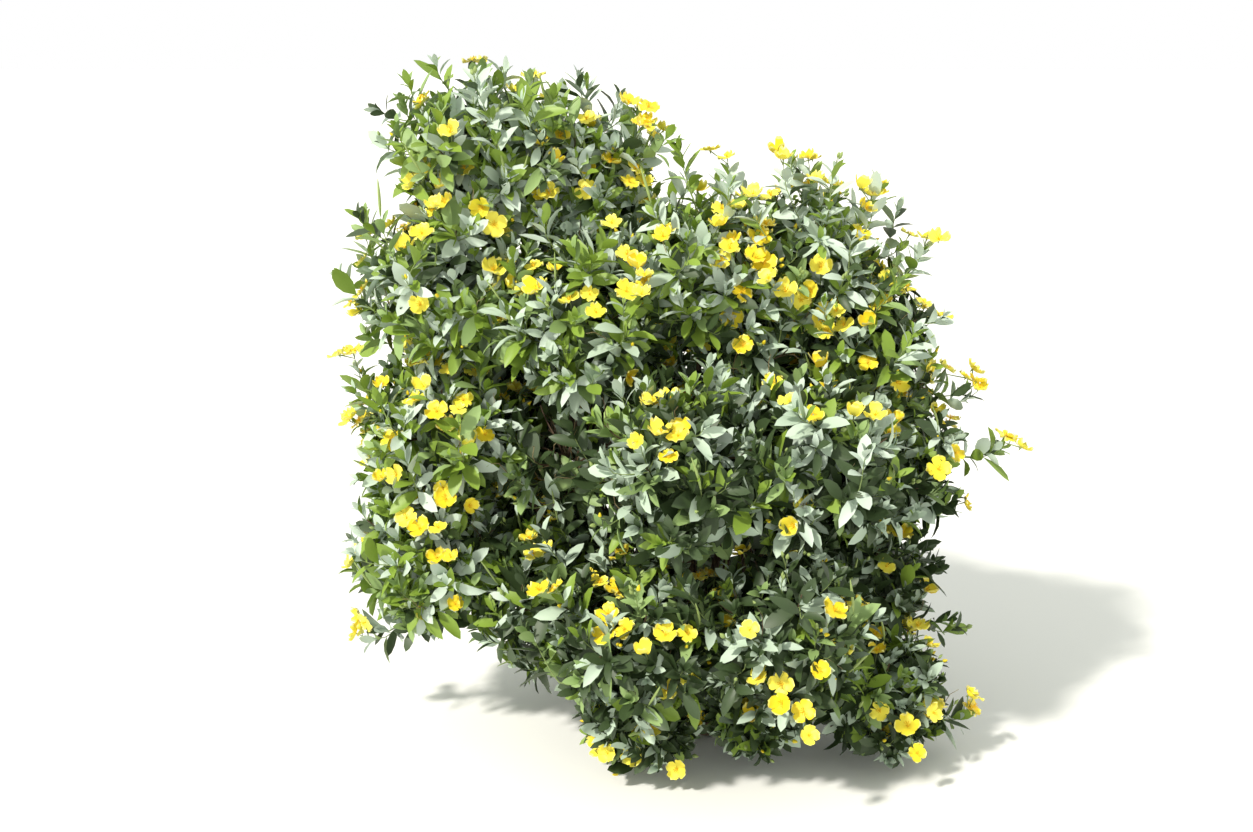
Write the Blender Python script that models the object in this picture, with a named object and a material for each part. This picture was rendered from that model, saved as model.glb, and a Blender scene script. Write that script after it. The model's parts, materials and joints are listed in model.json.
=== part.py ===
"""Bush poppy: an evergreen shrub of many thin stems, in flower.

A short main stem, flat underneath where it meets the ground, carries one tapering bough for each mass
of foliage. Each mass is a single solid: twigs that stand out of a small core, with leaves and four-petalled
blossoms fused to them. The leaves are fewer and larger than life.

Metres. +Z is up, the front of the crown faces -Y and +X is to its right. The origin is the middle of the
flat cut under the main stem, at ground level.
"""
import math
import random

import bmesh
import bpy
import numpy as np
from mathutils import Matrix, Vector
from mathutils.bvhtree import BVHTree

UP = Vector((0.0, 0.0, 1.0))
GOLDEN_ANGLE = math.pi * (3.0 - math.sqrt(5.0))

# ---------------------------------------------------------------- driving sizes
STEM_HEIGHT = 0.150          # ground to the top of the main stem's head
STEM_RADIUS = 0.036          # at the waist, above the flare
FLARE_RADIUS = 0.058         # at the ground
FLARE_LOBES = 5              # root buttresses
STEM_LEAN = Vector((-0.010, 0.004, 0.0))  # how far the head stands to the side of the foot
STEM_SIDES = 16
SHARP_ANGLE = 80.0           # degrees; limbs have corners that are less sharp, and their ends are squarer
HEAD_SHARE = 0.67            # how far up the stem the boughs' lines start, at its axis
HEAD = (STEM_LEAN + UP * STEM_HEIGHT) * HEAD_SHARE

BOUGH_ROOT_RADIUS = 0.0082   # of a bough 0.5 m long
BOUGH_THICKENING = 0.0041    # more for each metre that a bough is longer
BOUGH_TIP_RADIUS = 0.0042
BOUGH_SIDES = 5
BOUGH_STEPS = 5
BOUGH_CROWDING = 1.4         # how much shorter the steps are near the stem, where the boughs fan out
BOUGH_SINK = 0.6             # a bough's line starts this share of the stem's radius out from the head
BOUGH_PULLS = (0.38, 0.30)   # how far it runs straight on at its root and at its tip, as shares of its length
BOUGH_REACH = 0.80           # a bough ends this share of a mass's radius short of its centre, or nearer
KNEE = (0.25, 0.45, 0.06)    # a bough bends over at these shares of the way out and up, and this much higher

FAN_LIFT = 0.05              # how far above its mass's middle a bough first aims
FAN_SPREAD = 0.98            # how evenly the boughs leave the head, from 0 to 1
FAN_ROUNDS = 80
LOWEST_RISE = 0.02           # none leaves it less steeply than this
BOUGH_SPACING = 0.026        # boughs are eased this far apart, from axis to axis
BOUGH_CLEARANCE = 0.60       # and this share of a mass's radius from the middle of any other mass
BOUGH_STRAIGHTENING = 0.15   # and straightened by this share in each round
BOUGH_ROUNDS = 40            # of easing
BOUGH_FINENESS = 6           # points that are tested along each step of a bough

JOINT_GAP = 0.0003           # between two solids that meet
CUTTER_GROWTH = 0.0004       # wider than the gap, because the stem's flat sides stand in from its corners
LIMB_BERTH = 0.0015          # from a bough to any foliage that it passes
CELL_GAP = 0.0007            # from a mass to the wall that it shares with its neighbour
GROUND_GAP = 0.004           # from the lowest leaf to the ground

CORE_OUTER = (0.64, 0.24)    # how far the core reaches towards open air, as a share of the mass's radius,
CORE_INNER = (0.98, 0.03)    # and towards a neighbour; and how far some corners stand in from there
DRAW_IN = 0.95               # what has no room is drawn in by this factor until it has
TWIG_RADIUS = 0.0030
TWIG_WAYS = 12               # directions tried all round a mass; those into a neighbour don't grow
TWIG_REACH = (0.66, 0.84)    # where twigs end, as shares of the mass's radius
TWIG_BASE = 0.40             # and where they are rooted, within the core
MASS_REACH = 1.16            # leaves may stand this far out,
SPRAY_REACH = 4.0            # except on the long sprays

LEAVES_ON_TWIG = 3           # besides the one at its tip
LEAVES_ON_SPRAY = 5
LEAF_LENGTH = 0.094
LEAF_LENGTHS = (0.90, 1.15)  # shortest and longest leaf, as shares of that
LEAF_WIDTH = 0.044
LEAF_WIDEST = 0.42           # a leaf is widest at this share of its length
LEAF_THICKNESS = 0.0035
LEAF_FIRST = 0.006           # from a twig's tip to the first leaf's joint
LEAF_STEP = 0.022            # and from each joint to the next
TIP_LEAN = 0.4               # how far a leaf leans off its twig's line at the tip,
SIDE_LEAN = 1.7              # and further down
LEAF_TRIES = 12
LEAF_TURN = 0.45             # each new try may turn a leaf by this much more, in radians
BLOSSOM_ACROSS = 0.058
BLOSSOM_DEPTH = 0.016
BLOSSOM_SEAT = 0.70          # its heart stands this share of its depth off the twig's tip
BLOSSOM_HOLLOW = 0.10        # height of the hollow's floor over the heart, as a share of the depth
PETAL_TIP = (0.50, 0.55)     # how far out and how high, as shares of its width and its depth
PETAL_NOTCH = (0.33, 0.15)
PETALS = 4
BLOSSOM_EVERY = 4            # twigs to a blossom

# Each mass of foliage: where its middle is, and its radius. The front row comes first.
MASSES = {
    "centre": ((-0.050, -0.240, 0.570), 0.180),
    "right_front": ((0.170, -0.220, 0.570), 0.170),
    "front_left": ((-0.120, -0.260, 0.265), 0.165),
    "front_middle": ((0.130, -0.280, 0.290), 0.165),
    "skirt_left": ((-0.110, -0.200, 0.110), 0.115),
    "skirt_middle": ((0.092, -0.195, 0.130), 0.102),
    "skirt_right": ((0.318, -0.140, 0.125), 0.135),
    "peak": ((-0.390, 0.060, 1.050), 0.168),
    "peak_right": ((-0.235, 0.080, 1.018), 0.150),
    "upper_left": ((-0.448, 0.020, 0.840), 0.178),
    "upper_middle": ((-0.215, -0.060, 0.790), 0.175),
    "left_flank": ((-0.476, 0.000, 0.570), 0.175),
    "left_low": ((-0.490, 0.000, 0.345), 0.175),
    "left_inner": ((-0.262, -0.060, 0.278), 0.170),
    "left_middle": ((-0.258, -0.030, 0.530), 0.130),
    "middle": ((0.075, -0.060, 0.700), 0.110),
    "centre_high": ((-0.010, -0.020, 0.865), 0.170),
    "shoulder": ((0.175, 0.030, 0.870), 0.180),
    "right_high": ((0.280, -0.020, 0.735), 0.158),
    "right_flank": ((0.308, -0.040, 0.530), 0.165),
    "right_low": ((0.290, -0.010, 0.300), 0.158),
    "back_left": ((-0.340, 0.250, 0.600), 0.175),
    "back_left_low": ((-0.320, 0.220, 0.330), 0.165),
    "back_top": ((-0.140, 0.240, 0.830), 0.170),
    "back_middle": ((-0.080, 0.320, 0.510), 0.190),
    "back_right": ((0.190, 0.250, 0.640), 0.175),
    "back_right_low": ((0.230, 0.260, 0.300), 0.165),
    "back_low": ((-0.040, 0.235, 0.200), 0.150),
}
CENTRES = {name: Vector(centre) for name, (centre, _) in MASSES.items()}
RADII = {name: radius for name, (_, radius) in MASSES.items()}

# Where the longest sprays end, out beyond the masses that carry them.
LONG_SPRAYS = {
    "peak": [(-0.390, 0.060, 1.226), (-0.500, 0.040, 1.160)],
    "peak_right": [(-0.203, 0.080, 1.208), (-0.080, 0.040, 1.090)],
    "upper_left": [(-0.622, 0.020, 0.723)],
    "left_low": [(-0.636, 0.000, 0.384), (-0.628, 0.000, 0.175)],
    "shoulder": [(0.165, 0.030, 1.062), (0.299, 0.000, 0.995)],
    "centre_high": [(-0.052, 0.000, 1.102)],
    "right_high": [(0.395, -0.020, 0.925), (0.490, -0.040, 0.655)],
    "right_flank": [(0.470, -0.060, 0.444), (0.546, -0.040, 0.564)],
    "right_low": [(0.470, -0.060, 0.215)],
    "skirt_left": [(-0.180, -0.220, 0.020), (-0.040, -0.280, 0.030)],
    "skirt_right": [(0.420, -0.180, 0.040), (0.490, -0.130, 0.075)],
}


# ---------------------------------------------------------------- materials
def painted(name, red, green, blue, roughness):
    """A plain material, its colour in linear light."""
    made = bpy.data.materials.new(name)
    made.use_nodes = True
    made.diffuse_color = (red, green, blue, 1.0)
    shader = made.node_tree.nodes["Principled BSDF"]
    shader.inputs["Base Color"].default_value = (red, green, blue, 1.0)
    shader.inputs["Roughness"].default_value = roughness
    shader.inputs["Metallic"].default_value = 0.0
    return made


# ---------------------------------------------------------------- shapes, each as its points and its faces
def object_from(shape, name, material):
    """A linked object of the shape, with its faces turned outwards."""
    points, faces = shape
    mesh = bpy.data.meshes.new(name)
    mesh.from_pydata(points, [], faces)
    bm = bmesh.new()
    bm.from_mesh(mesh)
    bmesh.ops.recalc_face_normals(bm, faces=bm.faces)
    bm.to_mesh(mesh)
    bm.free()
    mesh.materials.append(material)
    made = bpy.data.objects.new(name, mesh)
    bpy.context.scene.collection.objects.link(made)
    return made


def shade_round(made):
    """Shades a limb as round, with its flat ends left crisp."""
    made.data.shade_smooth()
    made.data.set_sharp_from_angle(angle=math.radians(SHARP_ANGLE))


def skin(rings):
    """A closed solid through rings of as many points each, the first and last of them filled."""
    sides = len(rings[0])
    points = [point for ring in rings for point in ring]
    faces = [tuple(reversed(range(sides)))]
    for low in range(0, len(points) - sides, sides):
        for i in range(sides):
            j = (i + 1) % sides
            faces.append((low + i, low + j, low + sides + j, low + sides + i))
    faces.append(tuple(range(len(points) - sides, len(points))))
    return points, faces


def tube(points, radii, sides):
    """A closed tapering tube along a line of points, with flat ends square to the line."""
    rings = []
    side = None
    for i, point in enumerate(points):
        along = (points[min(i + 1, len(points) - 1)] - points[max(i - 1, 0)]).normalized()
        if side is None:
            side = along.orthogonal()
        side = (side - along * side.dot(along)).normalized()
        across = along.cross(side)
        turns = [2.0 * math.pi * k / sides for k in range(sides)]
        rings.append([point + (side * math.cos(t) + across * math.sin(t)) * radii[i] for t in turns])
    return skin(rings)


def leaf_shape(root, along, facing, length):
    """A leaf of five corners: root, tip, both edges, and the keel of its midrib underneath."""
    across = along.cross(facing).normalized()
    middle = root + along * (length * LEAF_WIDEST)
    half = across * (LEAF_WIDTH * length / LEAF_LENGTH / 2.0)
    keel = middle + across.cross(along).normalized() * -LEAF_THICKNESS
    faces = [(0, 3, 2), (1, 2, 3), (0, 2, 4), (1, 4, 2), (0, 4, 3), (1, 3, 4)]
    return [root, root + along * length, middle - half, middle + half, keel], faces


def blossom_shape(heart, facing):
    """A cupped blossom: its back, the floor of its hollow, then petal tip and notch by turns."""
    side = facing.orthogonal().normalized()
    across = facing.cross(side)
    points = [heart - facing * BLOSSOM_DEPTH, heart + facing * BLOSSOM_DEPTH * BLOSSOM_HOLLOW]
    corners = 2 * PETALS
    faces = []
    for k in range(corners):
        turn = 2.0 * math.pi * k / corners
        reach, lift = PETAL_NOTCH if k % 2 else PETAL_TIP
        outward = side * math.cos(turn) + across * math.sin(turn)
        points.append(heart + outward * BLOSSOM_ACROSS * reach + facing * BLOSSOM_DEPTH * lift)
        rim, after = 2 + k, 2 + (k + 1) % corners
        faces += [(0, after, rim), (1, rim, after)]
    return points, faces


# ---------------------------------------------------------------- main stem and boughs
def stem_rings(grow=0.0):
    """Level rings up the main stem; grow widens them, for a cutter that leaves a gap."""
    profile = (
        (0.00, FLARE_RADIUS, 0.16),
        (0.08, FLARE_RADIUS * 0.84, 0.12),
        (0.22, STEM_RADIUS * 1.10, 0.05),
        (0.42, STEM_RADIUS, 0.0),
        (0.62, STEM_RADIUS * 1.12, 0.0),
        (0.80, STEM_RADIUS * 1.02, 0.0),
        (0.94, STEM_RADIUS * 0.66, 0.0),
        (1.00, STEM_RADIUS * 0.30, 0.0),
    )
    rings = []
    for share, radius, lobe in profile:
        middle = STEM_LEAN * share + UP * share * (STEM_HEIGHT + grow)
        turns = [2.0 * math.pi * k / STEM_SIDES for k in range(STEM_SIDES)]
        reach = [(radius + grow) * (1.0 + lobe * math.cos(FLARE_LOBES * t)) for t in turns]
        rings.append([middle + Vector((math.cos(t), math.sin(t), 0.0)) * r for t, r in zip(turns, reach)])
    return rings


def bough_starts():
    """A direction out of the stem's head for each bough: towards its mass, then pushed evenly apart."""
    names = list(MASSES)
    ways = [(CENTRES[name] - HEAD + UP * FAN_LIFT).normalized() for name in names]
    even = math.sqrt(4.0 * math.pi / len(names)) * FAN_SPREAD
    for _ in range(FAN_ROUNDS):
        for i in range(len(ways)):
            for j in range(i):
                gap = ways[i] - ways[j]
                if gap.length < even:
                    push = gap.normalized() * (even - gap.length) / 4.0
                    ways[i] = (ways[i] + push).normalized()
                    ways[j] = (ways[j] - push).normalized()
        for i, way in enumerate(ways):
            if way.z < LOWEST_RISE:
                ways[i] = Vector((way.x, way.y, LOWEST_RISE)).normalized()
    return dict(zip(names, ways))


def first_line(name, way):
    """A bough's middle line at first: out of the stem's head, upwards, then over into its mass."""
    centre = CENTRES[name]
    out, up, more = KNEE
    knee = Vector((centre.x * out, centre.y * out, centre.z * up + more))
    into = (centre - knee).normalized()
    depth = RADII[name] * BOUGH_REACH
    while room_in_cell(name, centre - into * depth) < 4.0 * CELL_GAP:
        depth -= 0.004
    end = centre - into * depth
    start = HEAD + way * STEM_RADIUS * BOUGH_SINK
    length = (end - start).length
    pull_out = start + way * length * BOUGH_PULLS[0]
    pull_in = end - into * length * BOUGH_PULLS[1]
    line = []
    for k in range(BOUGH_STEPS + 1):
        t = (k / BOUGH_STEPS) ** BOUGH_CROWDING
        s = 1.0 - t
        line.append(start * s**3 + pull_out * 3 * s * s * t + pull_in * 3 * s * t * t + end * t**3)
    return line


def pushes(points, places, least):
    """For each point, the sum of its moves out of the given least distances from the places."""
    away = points[:, None, :] - places[None, :, :]
    far = np.linalg.norm(away, axis=2) + 1e-9
    short = np.clip(least - far, 0.0, None)
    return (away * (short / far)[:, :, None]).sum(axis=1)


def bough_lines():
    """All the boughs' lines, eased clear of each other and of the middles of the masses that they pass."""
    names = list(MASSES)
    lines = np.array([first_line(name, way) for name, way in bough_starts().items()])
    centres = np.array([CENTRES[name] for name in names])
    clearance = np.array([RADII[name] for name in names]) * BOUGH_CLEARANCE
    steps = np.linspace(0.0, BOUGH_STEPS, BOUGH_STEPS * BOUGH_FINENESS + 1)
    weights = np.clip(1.0 - np.abs(steps[:, None] - np.arange(BOUGH_STEPS + 1)[None, :]), 0.0, None)
    for _ in range(BOUGH_ROUNDS):
        fine = np.einsum("fk,bkx->bfx", weights, lines)
        for i in range(len(names)):
            others = np.arange(len(names)) != i
            push = pushes(fine[i], centres[others], clearance[others])
            push += pushes(fine[i], fine[others].reshape(-1, 3), BOUGH_SPACING)
            shift = weights.T @ push / BOUGH_FINENESS
            straighter = (lines[i, :-2] + lines[i, 2:]) / 2.0 - lines[i, 1:-1]
            lines[i, 2:-1] += shift[2:-1] + straighter[1:] * BOUGH_STRAIGHTENING
    return {name: [Vector(point) for point in line] for name, line in zip(names, lines)}


def bough_radii(points, grow=0.0):
    """A bough's radius at each point of its line: it tapers evenly, and is thicker the longer it is."""
    length = sum((b - a).length for a, b in zip(points, points[1:]))
    root = BOUGH_ROOT_RADIUS + BOUGH_THICKENING * (length - 0.5)
    steps = len(points) - 1
    return [root + (BOUGH_TIP_RADIUS - root) * k / steps + grow for k in range(steps + 1)]


# ---------------------------------------------------------------- each mass's own space
def room_in_cell(name, point):
    """How far the point lies inside the walls between this mass and its neighbours.

    A wall is the plane where two masses' spheres are, in effect, as near as each other, so that a
    mass's space is convex: what has all its corners inside is inside, and no two masses can touch.
    """
    centre, radius = CENTRES[name], RADII[name]
    own = (point - centre).length_squared - radius**2
    room = math.inf
    for other, place in CENTRES.items():
        if other != name:
            theirs = (point - place).length_squared - RADII[other] ** 2
            room = min(room, (theirs - own) / (2.0 * (centre - place).length))
    return room


def spiral(count):
    """Directions spread evenly all round by the golden angle, from the top down."""
    for k in range(count):
        height = 1.0 - (2.0 * k + 1.0) / count
        ring = math.sqrt(1.0 - height * height)
        turn = GOLDEN_ANGLE * k
        yield Vector((ring * math.cos(turn), ring * math.sin(turn), height))


class Mass:
    """One mass of foliage while it grows: the pieces that one union will join."""

    def __init__(self, name, limbs, bough_end):
        self.name = name
        self.centre = CENTRES[name]
        self.radius = RADII[name]
        self.limbs = limbs
        self.bough_end = bough_end
        self.rng = random.Random(name)
        self.pieces = [("core", self.core())]
        self.trees = [BVHTree.FromPolygons(*self.pieces[0][1])]

    def core(self):
        """A lumpy ball of eighty faces, drawn in from the neighbours' walls and from limbs that pass."""
        bm = bmesh.new()
        bmesh.ops.create_icosphere(bm, subdivisions=2, radius=1.0)
        bm.verts.index_update()
        ways = [vertex.co.normalized() for vertex in bm.verts]
        faces = [tuple(vertex.index for vertex in face.verts) for face in bm.faces]
        bm.free()
        depths = []
        for way in ways:
            share, lumps = CORE_OUTER if self.faces_open_air(way) else CORE_INNER
            depth = self.radius * share
            while not self.has_room(self.centre + way * depth, 1.0):
                depth *= DRAW_IN
            depths.append(depth * self.rng.uniform(1.0 - lumps, 1.0))
        while True:
            points = [self.centre + way * depth for way, depth in zip(ways, depths)]
            touching = {i for i, _ in BVHTree.FromPolygons(points, faces).overlap(self.limbs)}
            if not touching:
                return points, faces
            for corner in {corner for i in touching for corner in faces[i]}:
                depths[corner] *= DRAW_IN

    def faces_open_air(self, way):
        """True if the mass's ball isn't inside a neighbour's in this direction."""
        return room_in_cell(self.name, self.centre + way * self.radius) > 0.0

    def has_room(self, point, reach=MASS_REACH):
        """True if a point keeps to the mass's space and stays above ground."""
        near = (point - self.centre).length < self.radius * reach
        return near and point.z > GROUND_GAP and room_in_cell(self.name, point) > CELL_GAP

    def try_piece(self, kind, shape, rooted_in, reach):
        """Keeps a piece that has room and touches only what it is rooted in; True if it is kept."""
        if not all(self.has_room(point, reach) for point in shape[0]):
            return False
        tree = BVHTree.FromPolygons(*shape)
        others = [other for i, other in enumerate(self.trees) if i != rooted_in]
        if any(tree.overlap(other) for other in [self.limbs] + others):
            return False
        self.pieces.append((kind, shape))
        self.trees.append(tree)
        return True

    def facing_out(self, point):
        return (point - self.centre).normalized()

    def twig(self, tip, reach):
        """A straight twig from within the core to the tip, as its two ends, or None for want of room."""
        root = self.centre + self.facing_out(tip) * self.radius * TWIG_BASE
        shape = tube([root, tip], (TWIG_RADIUS * 1.2, TWIG_RADIUS), 3)
        return (root, tip) if self.try_piece("twig", shape, 0, reach) else None

    def leaf(self, joint, way, turn, lean, twig, reach):
        """A leaf at one side of a twig, turned and shortened a little until it has room."""
        length = LEAF_LENGTH * self.rng.uniform(*LEAF_LENGTHS)
        for attempt in range(LEAF_TRIES):
            roll = turn + self.rng.uniform(-LEAF_TURN, LEAF_TURN) * attempt
            side = Matrix.Rotation(roll, 3, way) @ way.orthogonal().normalized()
            along = (way + side * lean * self.rng.uniform(0.6, 1.2) + UP * 0.15).normalized()
            facing = self.facing_out(joint) + UP * 0.4 - side * self.rng.uniform(0.0, 0.4)
            shape = leaf_shape(joint - along * TWIG_RADIUS * 0.6, along, facing, length)
            if self.try_piece("leaf", shape, twig, reach):
                return
            length *= 0.97

    def blossom(self, tip, way, twig, reach):
        """A blossom at a twig's tip, turned upwards and outwards. True if it has room."""
        facing = (way + UP * 0.35 + self.facing_out(tip) * 0.4).normalized()
        heart = tip + facing * BLOSSOM_DEPTH * BLOSSOM_SEAT
        return self.try_piece("blossom", blossom_shape(heart, facing), twig, reach)

    def spray(self, tip, leaves, flowering, reach=MASS_REACH):
        """A twig with its leaves, and a blossom or one more leaf at its tip. True if it grows."""
        ends = self.twig(tip, reach)
        if ends is None:
            return False
        root, tip = ends
        twig = len(self.trees) - 1
        way = (tip - root).normalized()
        turn = self.rng.uniform(0.0, 2.0 * math.pi)
        if not (flowering and self.blossom(tip, way, twig, reach)):
            self.leaf(tip - way * TWIG_RADIUS, way, turn - GOLDEN_ANGLE, TIP_LEAN, twig, reach)
        for k in range(leaves):
            joint = tip - way * (LEAF_FIRST + LEAF_STEP * k)
            self.leaf(joint, way, turn + GOLDEN_ANGLE * k, SIDE_LEAN, twig, reach)
        return True

    def grow(self):
        """The long sprays, then one spray in each direction that faces open air."""
        for count, place in enumerate(LONG_SPRAYS.get(self.name, ())):
            flowering = count % 2 == 1
            far = Vector(place)
            inset = BLOSSOM_DEPTH if flowering else LEAF_LENGTH * 0.85
            self.spray(far - self.facing_out(far) * inset, LEAVES_ON_SPRAY, flowering, SPRAY_REACH)
        grown = 0
        for way in spiral(TWIG_WAYS):
            tip = self.centre + way * self.radius * self.rng.uniform(*TWIG_REACH)
            if self.faces_open_air(way):
                grown += self.spray(tip, LEAVES_ON_TWIG, grown % BLOSSOM_EVERY == 1)

    def stem(self):
        """From just clear of the bough's tip into the core."""
        last, tip = self.bough_end
        into = (tip - last).normalized()
        line = [tip + into * JOINT_GAP, tip + into * BOUGH_TIP_RADIUS * 2.0, self.centre]
        return tube(line, (BOUGH_TIP_RADIUS, BOUGH_TIP_RADIUS, TWIG_RADIUS), 3)

    def fuse(self, materials):
        """One solid from the core and all the pieces, by one Boolean union."""
        body = object_from(self.pieces[0][1], "foliage_" + self.name, materials["leaf"])
        body.data.materials.append(materials["blossom"])
        self.pieces.append(("stem", self.stem()))
        gathered = bpy.data.collections.new("sprays_" + self.name)
        bpy.context.scene.collection.children.link(gathered)
        for kind, shape in self.pieces[1:]:
            look = materials["blossom"] if kind == "blossom" else materials["leaf"]
            gathered.objects.link(object_from(shape, kind, look))
        join = body.modifiers.new("join", "BOOLEAN")
        join.operation = "UNION"
        join.operand_type = "COLLECTION"
        join.collection = gathered
        join.solver = "MANIFOLD"
        graph = bpy.context.evaluated_depsgraph_get()
        fused = bpy.data.meshes.new_from_object(body.evaluated_get(graph), depsgraph=graph)
        body.modifiers.remove(join)
        body.data = fused
        for piece in list(gathered.objects):
            bpy.data.objects.remove(piece)
        bpy.data.collections.remove(gathered)
        keep_largest_island(fused)


def keep_largest_island(mesh):
    """Drops loose scraps and the walls of sealed hollows, so that one closed body is left."""
    bm = bmesh.new()
    bm.from_mesh(mesh)
    unseen = set(bm.verts)
    islands = []
    while unseen:
        todo = [unseen.pop()]
        island = set(todo)
        while todo:
            for edge in todo.pop().link_edges:
                for vertex in edge.verts:
                    if vertex in unseen:
                        unseen.remove(vertex)
                        island.add(vertex)
                        todo.append(vertex)
        islands.append(island)
    islands.sort(key=len)
    for island in islands[:-1]:
        bmesh.ops.delete(bm, geom=list(island), context="VERTS")
    bm.to_mesh(mesh)
    bm.free()


def build():
    for thing in list(bpy.data.objects):
        bpy.data.objects.remove(thing)
    bark = painted("bark", 0.19, 0.13, 0.085, 0.9)
    foliage = {
        "leaf": painted("leaf", 0.17, 0.26, 0.15, 0.55),
        "blossom": painted("blossom", 0.90, 0.66, 0.02, 0.5),
    }

    stem = object_from(skin(stem_rings()), "main_stem", bark)
    shade_round(stem)
    stem_cutter = object_from(skin(stem_rings(grow=CUTTER_GROWTH)), "stem_cutter", bark)
    stem_cutter.hide_render = True
    stem_cutter.display_type = "WIRE"

    lines = bough_lines()
    for name, line in lines.items():
        bough = object_from(tube(line, bough_radii(line), BOUGH_SIDES), "bough_" + name, bark)
        shade_round(bough)
        clear = bough.modifiers.new("clear_of_stem", "BOOLEAN")
        clear.operation = "DIFFERENCE"
        clear.object = stem_cutter
        clear.solver = "EXACT"

    corners, faces = [], []
    for line in lines.values():
        points, sides = tube(line, bough_radii(line, grow=LIMB_BERTH), BOUGH_SIDES)
        faces += [tuple(len(corners) + i for i in side) for side in sides]
        corners += points
    limbs = BVHTree.FromPolygons(corners, faces)

    for name, line in lines.items():
        mass = Mass(name, limbs, line[-2:])
        mass.grow()
        mass.fuse(foliage)


build()
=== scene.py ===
# %% [markdown]
# # A bush poppy in flower
#
# A bush poppy is an evergreen shrub of many thin stems. Its leaves are grey-green with a waxy bloom, and a
# young shoot may end in one or a few yellow blossoms of four broad petals. This lesson dresses a plain
# solid model of the shrub. The solids give the places and the reach of everything; here they are replaced
# by bark with relief, fine twigs, and leaves and blossoms of life size.
#
# Metres throughout. +Z is up, the front of the crown faces -Y and +X is to its right.

# %% Load the solid model
import json
import math
import random

import bpy
import numpy as np
from mathutils import Matrix, Vector

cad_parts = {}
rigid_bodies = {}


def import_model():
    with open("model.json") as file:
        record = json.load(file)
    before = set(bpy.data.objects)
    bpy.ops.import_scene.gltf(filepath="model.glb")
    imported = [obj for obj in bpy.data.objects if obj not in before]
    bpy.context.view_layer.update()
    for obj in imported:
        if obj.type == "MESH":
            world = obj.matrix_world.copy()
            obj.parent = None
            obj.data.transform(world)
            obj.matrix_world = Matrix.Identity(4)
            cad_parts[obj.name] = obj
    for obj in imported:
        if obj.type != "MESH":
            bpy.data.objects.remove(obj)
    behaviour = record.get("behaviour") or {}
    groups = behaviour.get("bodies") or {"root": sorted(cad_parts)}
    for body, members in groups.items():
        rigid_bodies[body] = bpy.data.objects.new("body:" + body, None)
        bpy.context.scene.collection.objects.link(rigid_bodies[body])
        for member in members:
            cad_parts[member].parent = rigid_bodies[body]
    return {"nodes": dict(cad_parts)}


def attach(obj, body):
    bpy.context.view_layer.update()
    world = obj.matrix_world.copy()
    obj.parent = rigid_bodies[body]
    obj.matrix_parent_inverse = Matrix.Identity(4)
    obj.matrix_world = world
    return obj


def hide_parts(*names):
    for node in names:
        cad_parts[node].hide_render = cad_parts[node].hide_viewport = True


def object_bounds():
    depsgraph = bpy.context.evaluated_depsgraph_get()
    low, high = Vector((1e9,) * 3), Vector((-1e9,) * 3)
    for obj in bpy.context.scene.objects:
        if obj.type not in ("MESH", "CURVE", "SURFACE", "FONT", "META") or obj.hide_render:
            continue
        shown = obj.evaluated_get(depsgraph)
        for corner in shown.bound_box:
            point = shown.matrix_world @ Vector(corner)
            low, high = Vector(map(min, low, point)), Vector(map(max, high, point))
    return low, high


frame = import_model()
cad_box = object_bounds()
UP = Vector((0.0, 0.0, 1.0))
print("solids:", len(frame["nodes"]), "box:", [tuple(round(c, 3) for c in corner) for corner in cad_box])

# %% [markdown]
# ## Helpers for colours, nodes and objects
#
# A colour is picked as people see it, as an sRGB hex value, but light adds up in linear numbers, so one
# function turns the one into the other. A second one adds a node with its settings and links, so that a
# tree reads as a list of steps. A third makes a plain material, and two more put a new object into the
# scene.

# %% Colours, nodes and objects
def linear(hex_colour):
    """An sRGB hex colour as linear light, with full alpha."""
    channels = [int(hex_colour[i : i + 2], 16) / 255.0 for i in (1, 3, 5)]
    return tuple(c / 12.92 if c <= 0.04045 else ((c + 0.055) / 1.055) ** 2.4 for c in channels) + (1.0,)


def add_node(tree, kind, inputs=None, **settings):
    """Adds a node. Settings go on the node; an input gets a value, or a link if it is given a socket."""
    node = tree.nodes.new(kind)
    for name, value in settings.items():
        setattr(node, name, value)
    for key, value in (inputs or {}).items():
        if isinstance(value, bpy.types.NodeSocket):
            tree.links.new(value, node.inputs[key])
        else:
            node.inputs[key].default_value = value
    return node


def surface(name, colour, roughness, **more):
    """A Principled material that is the same all over; more sets its other inputs by name."""
    made = bpy.data.materials.new(name)
    made.use_nodes = True
    shader = made.node_tree.nodes["Principled BSDF"]
    shader.inputs["Base Color"].default_value = linear(colour)
    shader.inputs["Roughness"].default_value = roughness
    for key, value in more.items():
        shader.inputs[key.replace("_", " ")].default_value = value
    return made


def put_in_scene(name, data):
    """A new object in the scene, at the origin, that holds this data."""
    made = bpy.data.objects.new(name, data)
    bpy.context.scene.collection.objects.link(made)
    return made


def mesh_object(name, points, edges, faces):
    """A new object in the scene whose mesh has these points, edges and faces."""
    mesh = bpy.data.meshes.new(name)
    mesh.from_pydata(points, edges, faces)
    return put_in_scene(name, mesh)


print("mid grey is", round(linear("#808080")[0], 3), "in linear light")

# %% [markdown]
# ## Camera, floor and light
#
# The shrub is seen from the front and a little above, from about three metres away, so that its sides stay
# upright. The floor is plain and pale. One large soft lamp stands high at the upper left in front, and a
# pale surround fills the shade. The lamp is much stronger than the fill, because a leafy crown shows its
# depth by the shade inside it.

# %% Camera
CAMERA_PLACE = (-0.1386, -2.9159, 1.3255)
CAMERA_DROP = 14.0  # degrees below level
CAMERA_LENS = 48.0  # mm, on a sensor this wide
CAMERA_SENSOR = 36.0

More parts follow.
